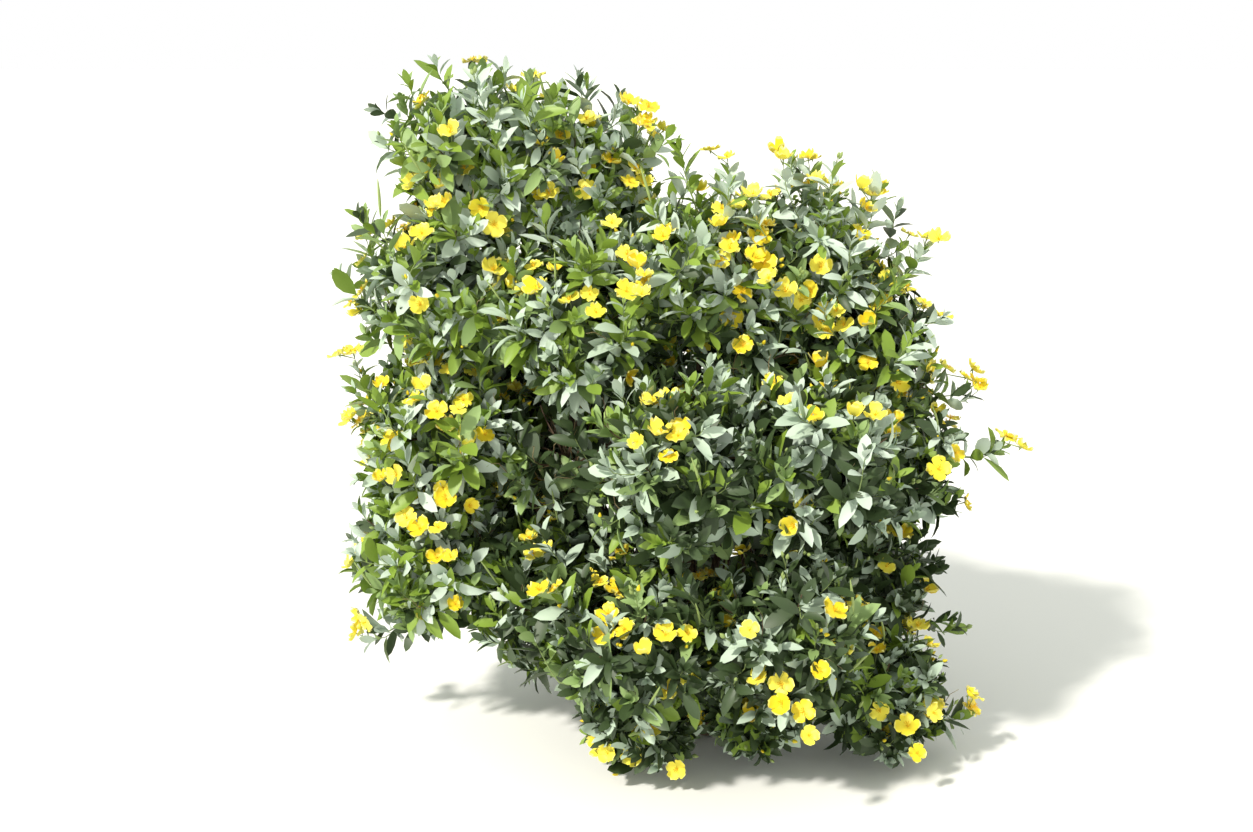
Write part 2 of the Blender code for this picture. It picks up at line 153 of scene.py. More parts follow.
camera = put_in_scene("camera", bpy.data.cameras.new("camera"))
camera.data.lens = CAMERA_LENS
camera.data.sensor_width = CAMERA_SENSOR
camera.location = CAMERA_PLACE
camera.rotation_euler = (math.radians(90.0 - CAMERA_DROP), 0.0, 0.0)
bpy.context.scene.camera = camera
bpy.context.scene.view_settings.view_transform = "Standard"
print("camera stands", round(-CAMERA_PLACE[1], 2), "m in front")

# %% Floor, surround and lamp
FLOOR_HALF = 30.0  # half of the floor's side
SUNWARD = Vector((-0.52, -0.50, 0.70)).normalized()  # from the shrub to the lamp
LAMP_STRENGTH = 3.7
LAMP_SOFTNESS = 5.0  # degrees across, as the shrub sees it
LAMP_COLOUR = "#fffaf0"
FILL_STRENGTH = 0.93
FILL_COLOUR = "#f2f5ee"

corners = [(x * FLOOR_HALF, y * FLOOR_HALF, 0.0) for x, y in ((-1, -1), (1, -1), (1, 1), (-1, 1))]
floor = mesh_object("floor", corners, [], [(0, 1, 2, 3)])
# Painted board has no gloss, so nothing but the soft shadow shows on it.
floor.data.materials.append(surface("matte pale studio floor", "#f2f2f0", 0.9))

lamp = put_in_scene("lamp", bpy.data.lights.new("lamp", "SUN"))
lamp.data.energy = LAMP_STRENGTH
lamp.data.angle = math.radians(LAMP_SOFTNESS)
lamp.data.color = linear(LAMP_COLOUR)[:3]
lamp.rotation_euler = SUNWARD.to_track_quat("Z", "Y").to_euler()

# The surround looks plain white, and what it lends to the shade is a little softer than that.
world = bpy.data.worlds.new("pale surround")
world.use_nodes = True
bpy.context.scene.world = world
sky = world.node_tree
seen = add_node(sky, "ShaderNodeBackground", {"Color": (1.0, 1.0, 1.0, 1.0), "Strength": 1.0})
fill = add_node(sky, "ShaderNodeBackground", {"Color": linear(FILL_COLOUR), "Strength": FILL_STRENGTH})
rays = add_node(sky, "ShaderNodeLightPath")
both = add_node(sky, "ShaderNodeMixShader", {
    0: rays.outputs["Is Camera Ray"], 1: fill.outputs[0], 2: seen.outputs[0],
})
sky.links.new(both.outputs[0], sky.nodes["World Output"].inputs["Surface"])
print("lamp stands", round(math.degrees(math.asin(SUNWARD.z))), "degrees high")

# %% [markdown]
# ## The plan of the crown
#
# The crown is planned as overlapping balls, each a mass of foliage with a bough of its own. These are the
# same named places that the solids were made from. The wall between two masses is the plane where their
# balls are, in effect, as near as each other, so every mass grows in a space of its own.

# %% Masses of foliage
MASSES = {
    "centre": ((-0.050, -0.240, 0.570), 0.180),
    "right_front": ((0.170, -0.220, 0.570), 0.170),
    "front_left": ((-0.120, -0.260, 0.265), 0.165),
    "front_middle": ((0.130, -0.280, 0.290), 0.165),
    "skirt_left": ((-0.110, -0.200, 0.110), 0.115),
    "skirt_middle": ((0.092, -0.195, 0.130), 0.102),
    "skirt_right": ((0.318, -0.140, 0.125), 0.135),
    "peak": ((-0.390, 0.060, 1.050), 0.168),
    "peak_right": ((-0.235, 0.080, 1.018), 0.150),
    "upper_left": ((-0.448, 0.020, 0.840), 0.178),
    "upper_middle": ((-0.215, -0.060, 0.790), 0.175),
    "left_flank": ((-0.476, 0.000, 0.570), 0.175),
    "left_low": ((-0.490, 0.000, 0.345), 0.175),
    "left_inner": ((-0.262, -0.060, 0.278), 0.170),
    "left_middle": ((-0.258, -0.030, 0.530), 0.130),
    "middle": ((0.075, -0.060, 0.700), 0.110),
    "centre_high": ((-0.010, -0.020, 0.865), 0.170),
    "shoulder": ((0.175, 0.030, 0.870), 0.180),
    "right_high": ((0.280, -0.020, 0.735), 0.158),
    "right_flank": ((0.308, -0.040, 0.530), 0.165),
    "right_low": ((0.290, -0.010, 0.300), 0.158),
    "back_left": ((-0.340, 0.250, 0.600), 0.175),
    "back_left_low": ((-0.320, 0.220, 0.330), 0.165),
    "back_top": ((-0.140, 0.240, 0.830), 0.170),
    "back_middle": ((-0.080, 0.320, 0.510), 0.190),
    "back_right": ((0.190, 0.250, 0.640), 0.175),
    "back_right_low": ((0.230, 0.260, 0.300), 0.165),
    "back_low": ((-0.040, 0.235, 0.200), 0.150),
}
CENTRES = {name: Vector(centre) for name, (centre, _) in MASSES.items()}
RADII = {name: radius for name, (_, radius) in MASSES.items()}

# Where the longest sprays end, out beyond the masses that carry them.
LONG_SPRAYS = {
    "peak": [(-0.390, 0.060, 1.226), (-0.500, 0.040, 1.160)],
    "peak_right": [(-0.203, 0.080, 1.208), (-0.080, 0.040, 1.090)],
    "upper_left": [(-0.622, 0.020, 0.723)],
    "left_low": [(-0.636, 0.000, 0.384), (-0.628, 0.000, 0.175)],
    "shoulder": [(0.165, 0.030, 1.062), (0.299, 0.000, 0.995)],
    "centre_high": [(-0.052, 0.000, 1.102)],
    "right_high": [(0.395, -0.020, 0.925), (0.490, -0.040, 0.655)],
    "right_flank": [(0.470, -0.060, 0.444), (0.546, -0.040, 0.564)],
    "right_low": [(0.470, -0.060, 0.215)],
    "skirt_left": [(-0.180, -0.220, 0.020), (-0.040, -0.280, 0.030)],
    "skirt_right": [(0.420, -0.180, 0.040), (0.490, -0.130, 0.075)],
}

# Where thin sprigs end that stand out from the crown's edge, and what each of them bears.
SPRIGS = {
    "peak_right": [((-0.106, 0.030, 1.112), "blossom"), ((-0.058, 0.000, 1.098), "tuft")],
    "upper_left": [((-0.561, 0.000, 0.940), "blossom"), ((-0.616, 0.000, 0.775), "blossom")],
    "left_flank": [((-0.635, 0.000, 0.715), "blossom"), ((-0.620, 0.000, 0.672), "buds"),
                   ((-0.614, 0.000, 0.617), "blossom")],
    "left_low": [((-0.645, 0.000, 0.335), "blossom"), ((-0.640, 0.000, 0.165), "blossom")],
    "centre_high": [((-0.011, 0.000, 0.992), "tuft")],
    "shoulder": [((0.147, 0.030, 1.062), "tuft"), ((0.216, -0.020, 1.020), "blossom")],
    "right_high": [((0.389, -0.020, 0.924), "blossom"), ((0.392, -0.040, 0.800), "blossom"),
                   ((0.432, -0.040, 0.680), "blossom"),
                   ((0.495, -0.040, 0.645), "blossom")],
    "right_flank": [((0.559, -0.040, 0.560), "blossom"), ((0.470, -0.050, 0.440), "blossom")],
    "right_low": [((0.436, -0.060, 0.327), "tuft"), ((0.481, -0.060, 0.208), "buds")],
    "skirt_right": [((0.492, -0.120, 0.080), "blossom")],
    "skirt_left": [((-0.175, -0.280, 0.060), "blossom")],
}
print("masses:", len(MASSES), "long sprays:", sum(len(ends) for ends in LONG_SPRAYS.values()),
      "sprigs:", sum(len(ends) for ends in SPRIGS.values()))

# %% Each mass's own space
GROUND_GAP = 0.004  # from the lowest leaf to the ground
SHOOT_GIVE = 0.016  # how far a shoot may grow past the wall to a neighbour
LEAF_GIVE = 0.036  # and a leaf


def room_in_cell(name, point):
    """How far the point lies inside the walls between this mass and its neighbours."""
    centre, radius = CENTRES[name], RADII[name]
    own = (point - centre).length_squared - radius**2
    room = math.inf
    for other, place in CENTRES.items():
        if other != name:
            theirs = (point - place).length_squared - RADII[other] ** 2
            room = min(room, (theirs - own) / (2.0 * (centre - place).length))
    return room


def in_the_box(point):
    """True if the point lies within the solid model's own box, and above the ground."""
    lowest, highest = cad_box
    return all(low <= c <= high for low, c, high in zip(lowest, point, highest)) and point.z > GROUND_GAP


print("room at the middle of the peak:", round(room_in_cell("peak", CENTRES["peak"]), 3), "m")

# %% [markdown]
# ## The boughs' lines
#
# The boughs leave the head of a short stem evenly spread, rise, and bend over into their masses. They are
# found as in the solid model: a smooth curve for each, then all of them eased apart step by step, so that
# no two touch and none runs through the middle of another's mass.

# %% Sizes of stem and boughs
STEM_HEIGHT = 0.150
STEM_RADIUS = 0.036
FLARE_RADIUS = 0.058
STEM_LEAN = Vector((-0.010, 0.004, 0.0))
HEAD_SHARE = 0.67  # the boughs' lines meet at this share of the stem's height
HEAD = (STEM_LEAN + UP * STEM_HEIGHT) * HEAD_SHARE

BOUGH_ROOT_RADIUS = 0.0082  # of a bough of the usual length
BOUGH_LENGTH = 0.5  # which is this
BOUGH_THICKENING = 0.0041  # more for each metre that a bough is longer
BOUGH_TIP_RADIUS = 0.0042
BOUGH_STEPS = 5
BOUGH_CROWDING = 1.4  # how much shorter the steps are near the stem
BOUGH_SINK = 0.6  # how deep in the stem it starts, as a share of the stem's radius
BOUGH_PULLS = (0.38, 0.30)  # how far it runs straight on at its root and its tip, as shares of its length
BOUGH_REACH = 0.80  # how far from its mass's middle it ends, as a share of the mass's radius,
BOUGH_END_ROOM = 0.0028  # unless that is nearer than this to a wall:
BOUGH_END_STEP = 0.004  # then it runs on by this, again and again
KNEE = (0.25, 0.45, 0.06)  # a bough bends over at these shares of the way out and up, and this much higher


def smooth_line(start, near, far, end, shares):
    """The places at these shares along a smooth curve, which is drawn towards two guide points."""
    line = []
    for t in shares:
        s = 1.0 - t
        line.append(start * s**3 + near * 3 * s * s * t + far * 3 * s * t * t + end * t**3)
    return line


def first_line(name, way):
    """A bough's middle line at first: out of the stem's head, upwards, then over into its mass."""
    centre = CENTRES[name]
    out, up, more = KNEE
    knee = Vector((centre.x * out, centre.y * out, centre.z * up + more))
    into = (centre - knee).normalized()
    depth = RADII[name] * BOUGH_REACH
    while room_in_cell(name, centre - into * depth) < BOUGH_END_ROOM:
        depth -= BOUGH_END_STEP
    end = centre - into * depth
    start = HEAD + way * STEM_RADIUS * BOUGH_SINK
    length = (end - start).length
    near = start + way * length * BOUGH_PULLS[0]
    far = end - into * length * BOUGH_PULLS[1]
    shares = [(k / BOUGH_STEPS) ** BOUGH_CROWDING for k in range(BOUGH_STEPS + 1)]
    return smooth_line(start, near, far, end, shares)


print("the boughs meet at", [round(c, 3) for c in HEAD])

# %% Where each bough leaves the stem
FAN_LIFT = 0.05  # every way out is aimed this much higher than its mass
FAN_SPREAD = 0.98  # how evenly they end up, where 1 is as even as can be
FAN_ROUNDS = 80
LOWEST_RISE = 0.02  # no way out points lower than this


def bough_starts():
    """A direction out of the stem's head for each bough: towards its mass, then pushed evenly apart."""
    names = list(MASSES)
    ways = [(CENTRES[name] - HEAD + UP * FAN_LIFT).normalized() for name in names]
    even = math.sqrt(4.0 * math.pi / len(names)) * FAN_SPREAD
    for _ in range(FAN_ROUNDS):
        for i in range(len(ways)):
            for j in range(i):
                gap = ways[i] - ways[j]
                if gap.length < even:
                    push = gap.normalized() * (even - gap.length) / 4.0
                    ways[i] = (ways[i] + push).normalized()
                    ways[j] = (ways[j] - push).normalized()
        for i, way in enumerate(ways):
            if way.z < LOWEST_RISE:
                ways[i] = Vector((way.x, way.y, LOWEST_RISE)).normalized()
    return dict(zip(names, ways))


WAYS_OUT = bough_starts()
print("lowest way out rises", round(min(way.z for way in WAYS_OUT.values()), 2), "a metre")

# %% Easing the boughs apart
BOUGH_SPACING = 0.026  # least distance between two boughs' lines
BOUGH_CLEARANCE = 0.60  # and to the middle of another mass, as a share of its radius
BOUGH_STRAIGHTENING = 0.15  # how much of each bend is taken out in a round
BOUGH_ROUNDS = 40
BOUGH_FINENESS = 6  # places looked at on each step of a line
TOUCHING = 1e-9  # added to each distance, because a place may lie on another


def pushes(points, places, least):
    """For each point, the sum of its moves out of the given least distances from the places."""
    away = points[:, None, :] - places[None, :, :]
    far = np.linalg.norm(away, axis=2) + TOUCHING
    short = np.clip(least - far, 0.0, None)
    return (away * (short / far)[:, :, None]).sum(axis=1)


def bough_lines():
    """All the boughs' lines, clear of each other and of the middles of the masses that they pass."""
    names = list(MASSES)
    lines = np.array([first_line(name, way) for name, way in WAYS_OUT.items()])
    centres = np.array([CENTRES[name] for name in names])
    clearance = np.array([RADII[name] for name in names]) * BOUGH_CLEARANCE
    steps = np.linspace(0.0, BOUGH_STEPS, BOUGH_STEPS * BOUGH_FINENESS + 1)
    weights = np.clip(1.0 - np.abs(steps[:, None] - np.arange(BOUGH_STEPS + 1)[None, :]), 0.0, None)
    for _ in range(BOUGH_ROUNDS):
        fine = np.einsum("fk,bkx->bfx", weights, lines)
        for i in range(len(names)):
            others = np.arange(len(names)) != i
            push = pushes(fine[i], centres[others], clearance[others])
            push += pushes(fine[i], fine[others].reshape(-1, 3), BOUGH_SPACING)
            shift = weights.T @ push / BOUGH_FINENESS
            straighter = (lines[i, :-2] + lines[i, 2:]) / 2.0 - lines[i, 1:-1]
            lines[i, 2:-1] += shift[2:-1] + straighter[1:] * BOUGH_STRAIGHTENING
    return {name: [Vector(point) for point in line] for name, line in zip(names, lines)}


BOUGH_LINES = bough_lines()
print("boughs:", len(BOUGH_LINES), "the peak's ends at", [round(c, 3) for c in BOUGH_LINES["peak"][-1]])

# %% [markdown]
# ## From points and lines to pieces
#
# What repeats is made by Geometry Nodes. A script lays out bare points or lines that carry a few named
# values, such as which way a leaf lies, and a node tree puts the shapes there. Instances are cheap while
# the tree works, but a finished piece has to be a plain mesh, so each tree ends in Realize Instances and
# Set Material, and the evaluated result is copied out before the modifier is dropped.

# %% Carriers of values, and plain results
KINDS = {
    Vector: ("FLOAT_VECTOR", "vector", np.float32),
    int: ("INT", "value", np.int32),
    float: ("FLOAT", "value", np.float32),
}
KEPT_VALUES = ("material_index", "sharp_face", "sharp_edge")  # the mesh's own, which a result keeps


def carrier(points, edges, columns):
    """An object of bare points and edges, with each named column of values as an attribute of its points."""
    made = mesh_object("carrier", points, edges, [])
    for name, values in columns.items():
        kind, field, number = KINDS[type(values[0])]
        column = made.data.attributes.new(name, kind, "POINT")
        column.data.foreach_set(field, np.array(values, number).ravel())
    return made


def tapered(root, tip, line):
    """A radius for each point of a line, from the root's to the tip's."""
    steps = len(line) - 1
    return [root + (tip - root) * k / steps for k in range(steps + 1)]


def gathered(lines):
    """Many lines of (points, radii, tint) as one carrier."""
    points, edges, thickness, tints = [], [], [], []
    for line, radii, tint in lines:
        edges += [(len(points) + k, len(points) + k + 1) for k in range(len(line) - 1)]
        points += line
        thickness += radii
        tints += [tint] * len(line)
    return carrier(points, edges, {"thickness": thickness, "tint": tints})


def finished(name, base, tree, **values):
    """The tree's result on the base object, as a plain mesh in an object at the origin."""
    modifier = base.modifiers.new(tree.name, "NODES")
    modifier.node_group = tree
    for socket in tree.interface.items_tree:
        if socket.in_out == "INPUT" and socket.name in values:
            modifier[socket.identifier] = values[socket.name]
    graph = bpy.context.evaluated_depsgraph_get()
    mesh = bpy.data.meshes.new_from_object(base.evaluated_get(graph), depsgraph=graph)
    base.modifiers.remove(modifier)
    bpy.data.objects.remove(base)
    for spare in [a.name for a in mesh.attributes if not a.is_internal and not a.is_required]:
        if spare not in KEPT_VALUES:
            mesh.attributes.remove(mesh.attributes[spare])
    mesh.name = name
    return put_in_scene(name, mesh)


print("value kinds:", ", ".join(kind for kind, _, _ in KINDS.values()))
print("a result keeps:", ", ".join(KEPT_VALUES))

# %% What the trees share
def new_tree(name, inputs):
    """An empty Geometry Nodes tree with a geometry in and out, and the given named inputs."""
    tree = bpy.data.node_groups.new(name, "GeometryNodeTree")
    tree.interface.new_socket("Geometry", in_out="INPUT", socket_type="NodeSocketGeometry")
    for key, kind in inputs.items():
        tree.interface.new_socket(key, in_out="INPUT", socket_type="NodeSocket" + kind)
    tree.interface.new_socket("Geometry", in_out="OUTPUT", socket_type="NodeSocketGeometry")
    return tree, add_node(tree, "NodeGroupInput")


def named(tree, name, kind):
    """The socket that reads a named value."""
    return add_node(tree, "GeometryNodeInputNamedAttribute", {"Name": name}, data_type=kind).outputs[0]


def tubes(tree, lines, sides):
    """Closed tubes along curves, each point's radius being its thickness."""
    ring = add_node(tree, "GeometryNodeCurvePrimitiveCircle", {"Resolution": sides, "Radius": 1.0})
    return add_node(tree, "GeometryNodeCurveToMesh", {
        "Curve": lines, "Profile Curve": ring.outputs[0],
        "Scale": named(tree, "thickness", "FLOAT"), "Fill Caps": True,
    }).outputs[0]


def realized(tree, geometry):
    """Real geometry, shaded smooth."""
    real = add_node(tree, "GeometryNodeRealizeInstances", {"Geometry": geometry})
    return add_node(tree, "GeometryNodeSetShadeSmooth", {"Geometry": real.outputs[0]}).outputs[0]


def dressed(tree, geometry, value, materials):
    """Gives each material to the faces whose named whole number is its place in the list."""
    for k, material in enumerate(materials):
        if material is None:
            continue
        same = add_node(tree, "FunctionNodeCompare", {2: named(tree, value, "INT"), 3: k},
                        data_type="INT", operation="EQUAL")
        geometry = add_node(tree, "GeometryNodeSetMaterial", {
            "Geometry": geometry, "Selection": same.outputs[0], "Material": material,
        }).outputs[0]
    return geometry


TREE_PARTS = (new_tree, named, tubes, realized, dressed)
print("trees are put together with:", ", ".join(part.__name__ for part in TREE_PARTS))

# %% [markdown]
# ## Bark
#
# Old stems of a bush poppy are straw-brown to grey and shred in thin strips that run lengthwise, a few
# millimetres wide. The relief is real geometry, made by pushing the skin out and in by a noise that is
# drawn out along the stem. The same drawn-out noise, finer, colours the strips and the gaps between them.

# %% Shredding bark
STRIP_WIDTH = 0.0035
STRIP_LENGTH = 0.030
BARK_TONES = ((0.32, "#2c231b"), (0.5, "#574636"), (0.68, "#86745a"))  # furrow, flank and ridge of a strip


def bark_material():
    """Dead bark that has dried and split: no gloss, pale ridges that weather, darker furrows that don't."""
    made = bpy.data.materials.new("shredding straw-brown bark")
    made.use_nodes = True
    tree = made.node_tree
    shader = tree.nodes["Principled BSDF"]
    place = add_node(tree, "ShaderNodeTexCoord")
    stretch = add_node(tree, "ShaderNodeMapping", {
        "Vector": place.outputs["Object"],
        "Scale": (1.0 / STRIP_WIDTH, 1.0 / STRIP_WIDTH, 1.0 / STRIP_LENGTH),
    })
    strips = add_node(tree, "ShaderNodeTexNoise", {
        "Vector": stretch.outputs[0], "Scale": 1.0, "Detail": 5.0, "Roughness": 0.6,
    }).outputs["Fac"]
    tones = add_node(tree, "ShaderNodeValToRGB", {"Fac": strips})
    (low, furrow), (half, flank), (high, ridge) = BARK_TONES
    stops = tones.color_ramp.elements
    stops[0].position, stops[1].position = low, high
    stops[0].color, stops[1].color = linear(furrow), linear(ridge)
    stops.new(half).color = linear(flank)
    dull = add_node(tree, "ShaderNodeMapRange", {"Value": strips, "To Min": 0.95, "To Max": 0.75})
    raised = add_node(tree, "ShaderNodeBump", {"Height": strips, "Strength": 0.6, "Distance": 0.0008})
    tree.links.new(tones.outputs["Color"], shader.inputs["Base Color"])
    tree.links.new(dull.outputs["Result"], shader.inputs["Roughness"])
    tree.links.new(raised.outputs["Normal"], shader.inputs["Normal"])
    return made


BARK = bark_material()
print("strips are", STRIP_WIDTH * 1000.0, "mm wide")

# %% Trees that grow bark
FURROW_DRAWN = 0.18  # a furrow's width as a share of its length
FLAT_FOOT = 0.006  # the relief fades in over this height, so that the cut at the ground stays flat
SKIN_SIZES = {"Relief": "Float", "Furrow width": "Float", "Seed": "Float"}


def barked(tree, geometry, given):
    """The last nodes of a bark tree: the skin moves in and out by a noise drawn out lengthwise."""
    place = add_node(tree, "GeometryNodeInputPosition")
    width = add_node(tree, "ShaderNodeMath", {0: 1.0, 1: given.outputs["Furrow width"]}, operation="DIVIDE")
    length = add_node(tree, "ShaderNodeMath", {0: FURROW_DRAWN, 1: given.outputs["Furrow width"]},
                      operation="DIVIDE")
    scale = add_node(tree, "ShaderNodeCombineXYZ", {
        0: width.outputs[0], 1: width.outputs[0], 2: length.outputs[0],
    })
    drawn = add_node(tree, "ShaderNodeVectorMath", {0: place.outputs[0], 1: scale.outputs[0]},
                     operation="MULTIPLY")
    noise = add_node(tree, "ShaderNodeTexNoise", {
        "Vector": drawn.outputs[0], "W": given.outputs["Seed"], "Scale": 1.0, "Detail": 3.0,
    }, noise_dimensions="4D")
    centred = add_node(tree, "ShaderNodeMath", {0: noise.outputs[0], 1: 0.5}, operation="SUBTRACT")
    deep = add_node(tree, "ShaderNodeMath", {0: centred.outputs[0], 1: given.outputs["Relief"]},
                    operation="MULTIPLY")
    height = add_node(tree, "ShaderNodeSeparateXYZ", {0: place.outputs[0]})
    above = add_node(tree, "ShaderNodeMapRange", {"Value": height.outputs["Z"], "From Max": FLAT_FOOT})
    kept = add_node(tree, "ShaderNodeMath", {0: deep.outputs[0], 1: above.outputs[0]}, operation="MULTIPLY")
    outward = add_node(tree, "GeometryNodeInputNormal")
    out = add_node(tree, "ShaderNodeVectorMath", {0: outward.outputs[0], "Scale": kept.outputs[0]},
                   operation="SCALE")
    moved = add_node(tree, "GeometryNodeSetPosition", {"Geometry": geometry, "Offset": out.outputs[0]})
    look = add_node(tree, "GeometryNodeSetMaterial", {
        "Geometry": realized(tree, moved.outputs[0]), "Material": BARK,
    })
    add_node(tree, "NodeGroupOutput", {0: look.outputs[0]})


def bough_tree():
    """Lines with a thickness become tapering limbs of bark."""
    tree, given = new_tree("limbs of bark", {"Sides": "Int", "Step": "Float", **SKIN_SIZES})
    lines = add_node(tree, "GeometryNodeMeshToCurve", {"Mesh": given.outputs["Geometry"]})
    bent = add_node(tree, "GeometryNodeCurveSplineType", {"Curve": lines.outputs[0]},
                    spline_type="CATMULL_ROM")
    even = add_node(tree, "GeometryNodeResampleCurve", {
        "Curve": bent.outputs[0], "Length": given.outputs["Step"],
    }, mode="LENGTH")
    barked(tree, tubes(tree, even.outputs[0], given.outputs["Sides"]), given)
    return tree


def stem_tree():
    """A coarse closed stem is divided finely and gets furrows."""
    tree, given = new_tree("furrowed stem", {"Divisions": "Int", **SKIN_SIZES})
    fine = add_node(tree, "GeometryNodeSubdivisionSurface", {
        "Mesh": given.outputs["Geometry"], "Level": given.outputs["Divisions"],
    })
    barked(tree, fine.outputs[0], given)
    return tree


print("a furrow is", round(1.0 / FURROW_DRAWN, 1), "times as long as it is wide")

# %% Boughs
BOUGH_SKIN = {"Sides": 12, "Step": 0.008, "Relief": 0.0022, "Furrow width": 0.006, "Seed": 3.0}


def bough_radii(line):
    """A bough is thicker the longer it is, and tapers evenly."""
    length = sum((b - a).length for a, b in zip(line, line[1:]))
    return tapered(BOUGH_ROOT_RADIUS + BOUGH_THICKENING * (length - BOUGH_LENGTH), BOUGH_TIP_RADIUS, line)


bough_rows = [(line, bough_radii(line), 0) for line in BOUGH_LINES.values()]
boughs = finished("boughs", gathered(bough_rows), bough_tree(), **BOUGH_SKIN)
print("boughs:", len(boughs.data.polygons), "faces")

# %% Main stem
STEM_SKIN = {"Divisions": 2, "Relief": 0.006, "Furrow width": 0.010, "Seed": 7.0}
STEM_SIDES = 30
FLARE_LOBES = 5
STEM_RINGS = (  # share of the height, radius, and how deep the lobes are
    (0.0, FLARE_RADIUS, 0.16),
    (0.03, FLARE_RADIUS * 0.95, 0.15),
    (0.10, FLARE_RADIUS * 0.80, 0.12),
    (0.22, STEM_RADIUS * 1.10, 0.05),
    (0.42, STEM_RADIUS, 0.0),
    (0.62, STEM_RADIUS * 1.12, 0.0),
    (0.80, STEM_RADIUS * 1.02, 0.0),
    (0.94, STEM_RADIUS * 0.70, 0.0),
    (1.0, STEM_RADIUS * 0.34, 0.0),
)


def stem_form():
    """The main stem's rings, wide and lobed where it meets the ground, closed at both ends."""
    points = []
    for share, radius, lobe in STEM_RINGS:
        middle = STEM_LEAN * share + UP * STEM_HEIGHT * share
        for k in range(STEM_SIDES):
            turn = 2.0 * math.pi * k / STEM_SIDES
            reach = radius * (1.0 + lobe * math.cos(FLARE_LOBES * turn))
            points.append(middle + Vector((math.cos(turn), math.sin(turn), 0.0)) * reach)
    top = len(points) - STEM_SIDES
    faces = [tuple(reversed(range(STEM_SIDES))), tuple(range(top, len(points)))]
    for low in range(0, top, STEM_SIDES):
        for k in range(STEM_SIDES):
            j = (k + 1) % STEM_SIDES
            faces.append((low + k, low + j, low + STEM_SIDES + j, low + STEM_SIDES + k))
    return points, [], faces


stem_base = mesh_object("stem", *stem_form())
creases = stem_base.data.attributes.new("crease_edge", "FLOAT", "EDGE")
for edge in stem_base.data.edges:
    at_foot = all(stem_base.data.vertices[i].co.z == 0.0 for i in edge.vertices)
    creases.data[edge.index].value = 1.0 if at_foot else 0.0
main_stem = finished("stem_bark", stem_base, stem_tree(), **STEM_SKIN)
print("stem:", len(main_stem.data.polygons), "faces")

# %% [markdown]
# ## How a mass grows
#
# A bough runs on into its mass and divides into woody limbs. Each limb carries shoots, and a shoot carries
# leaves one by one, each turned from the last by the golden angle of 137.5 degrees, as plants do it. A
# shoot ends in a tuft of young leaves, in blossoms, in buds or in a slender pod. All the directions come
# from a spiral over a sphere and from a random generator that is seeded with the mass's name, so that each
# run gives the same shrub.

# %% Directions and curves
GOLDEN_ANGLE = math.pi * (3.0 - math.sqrt(5.0))


def spiral(count):
    """Directions spread evenly all round, from the top down."""
    for k in range(count):
        height = 1.0 - (2.0 * k + 1.0) / count
        ring = math.sqrt(1.0 - height * height)
        turn = GOLDEN_ANGLE * k
        yield Vector((ring * math.cos(turn), ring * math.sin(turn), height))


def square_to(axis, turn):
    """A direction square to the axis, turned about it by this angle."""
    return Matrix.Rotation(turn, 3, axis) @ axis.orthogonal().normalized()


def curved(start, way_in, end, way_out, steps):
    """Points along a smooth curve that leaves the start one way and reaches the end another."""
    third = (end - start).length / 3.0
    shares = [k / steps for k in range(steps + 1)]
    return smooth_line(start, start + way_in * third, end - way_out * third, end, shares)


def back_from_tip(line, distance):
    """The place on a line this far back from its tip, and which way the line runs there."""
    for b, a in zip(line[:0:-1], line[-2::-1]):
        step = (b - a).length
        if distance <= step:
            return b + (a - b) * (distance / step), (b - a).normalized()
        distance -= step
    return line[0].copy(), (line[1] - line[0]).normalized()


print("the golden angle is", round(math.degrees(GOLDEN_ANGLE), 1), "degrees")

# %% What a mass keeps, and the room that it has
WOODY, DRY, GREEN = range(3)  # twig tints
TWIGS = {  # radius at the root and at the tip, and tint
    "leader": (BOUGH_TIP_RADIUS, 0.0024, WOODY),
    "limb": (0.0026, 0.0013, WOODY),
    "inner twig": (0.0012, 0.0005, WOODY),
    "dry twig": (0.0012, 0.0005, DRY),
    "shoot": (0.0014, 0.0008, GREEN),
    "sprig": (0.0015, 0.0008, GREEN),
    "long spray": (0.0022, 0.0008, GREEN),
    "blossom stalk": (0.0008, 0.0014, GREEN),
    "bud stalk": (0.0008, 0.0007, GREEN),
}
LEAST_REACH = 0.02  # nothing is drawn in further than this
DRAWN_BACK = 0.95  # a tip past a wall is drawn in to this share of its way out, again and again
LOWEST_TIP = 0.02  # or while it hangs lower than this
LEAF_SIZES = {  # how large a mass's leaves are, where they are smaller than elsewhere
    "shoulder": 0.84, "right_high": 0.84, "right_low": 0.84, "skirt_right": 0.84, "centre_high": 0.88,
    "right_flank": 0.88, "peak_right": 0.90, "upper_middle": 0.94, "front_middle": 0.94,
}


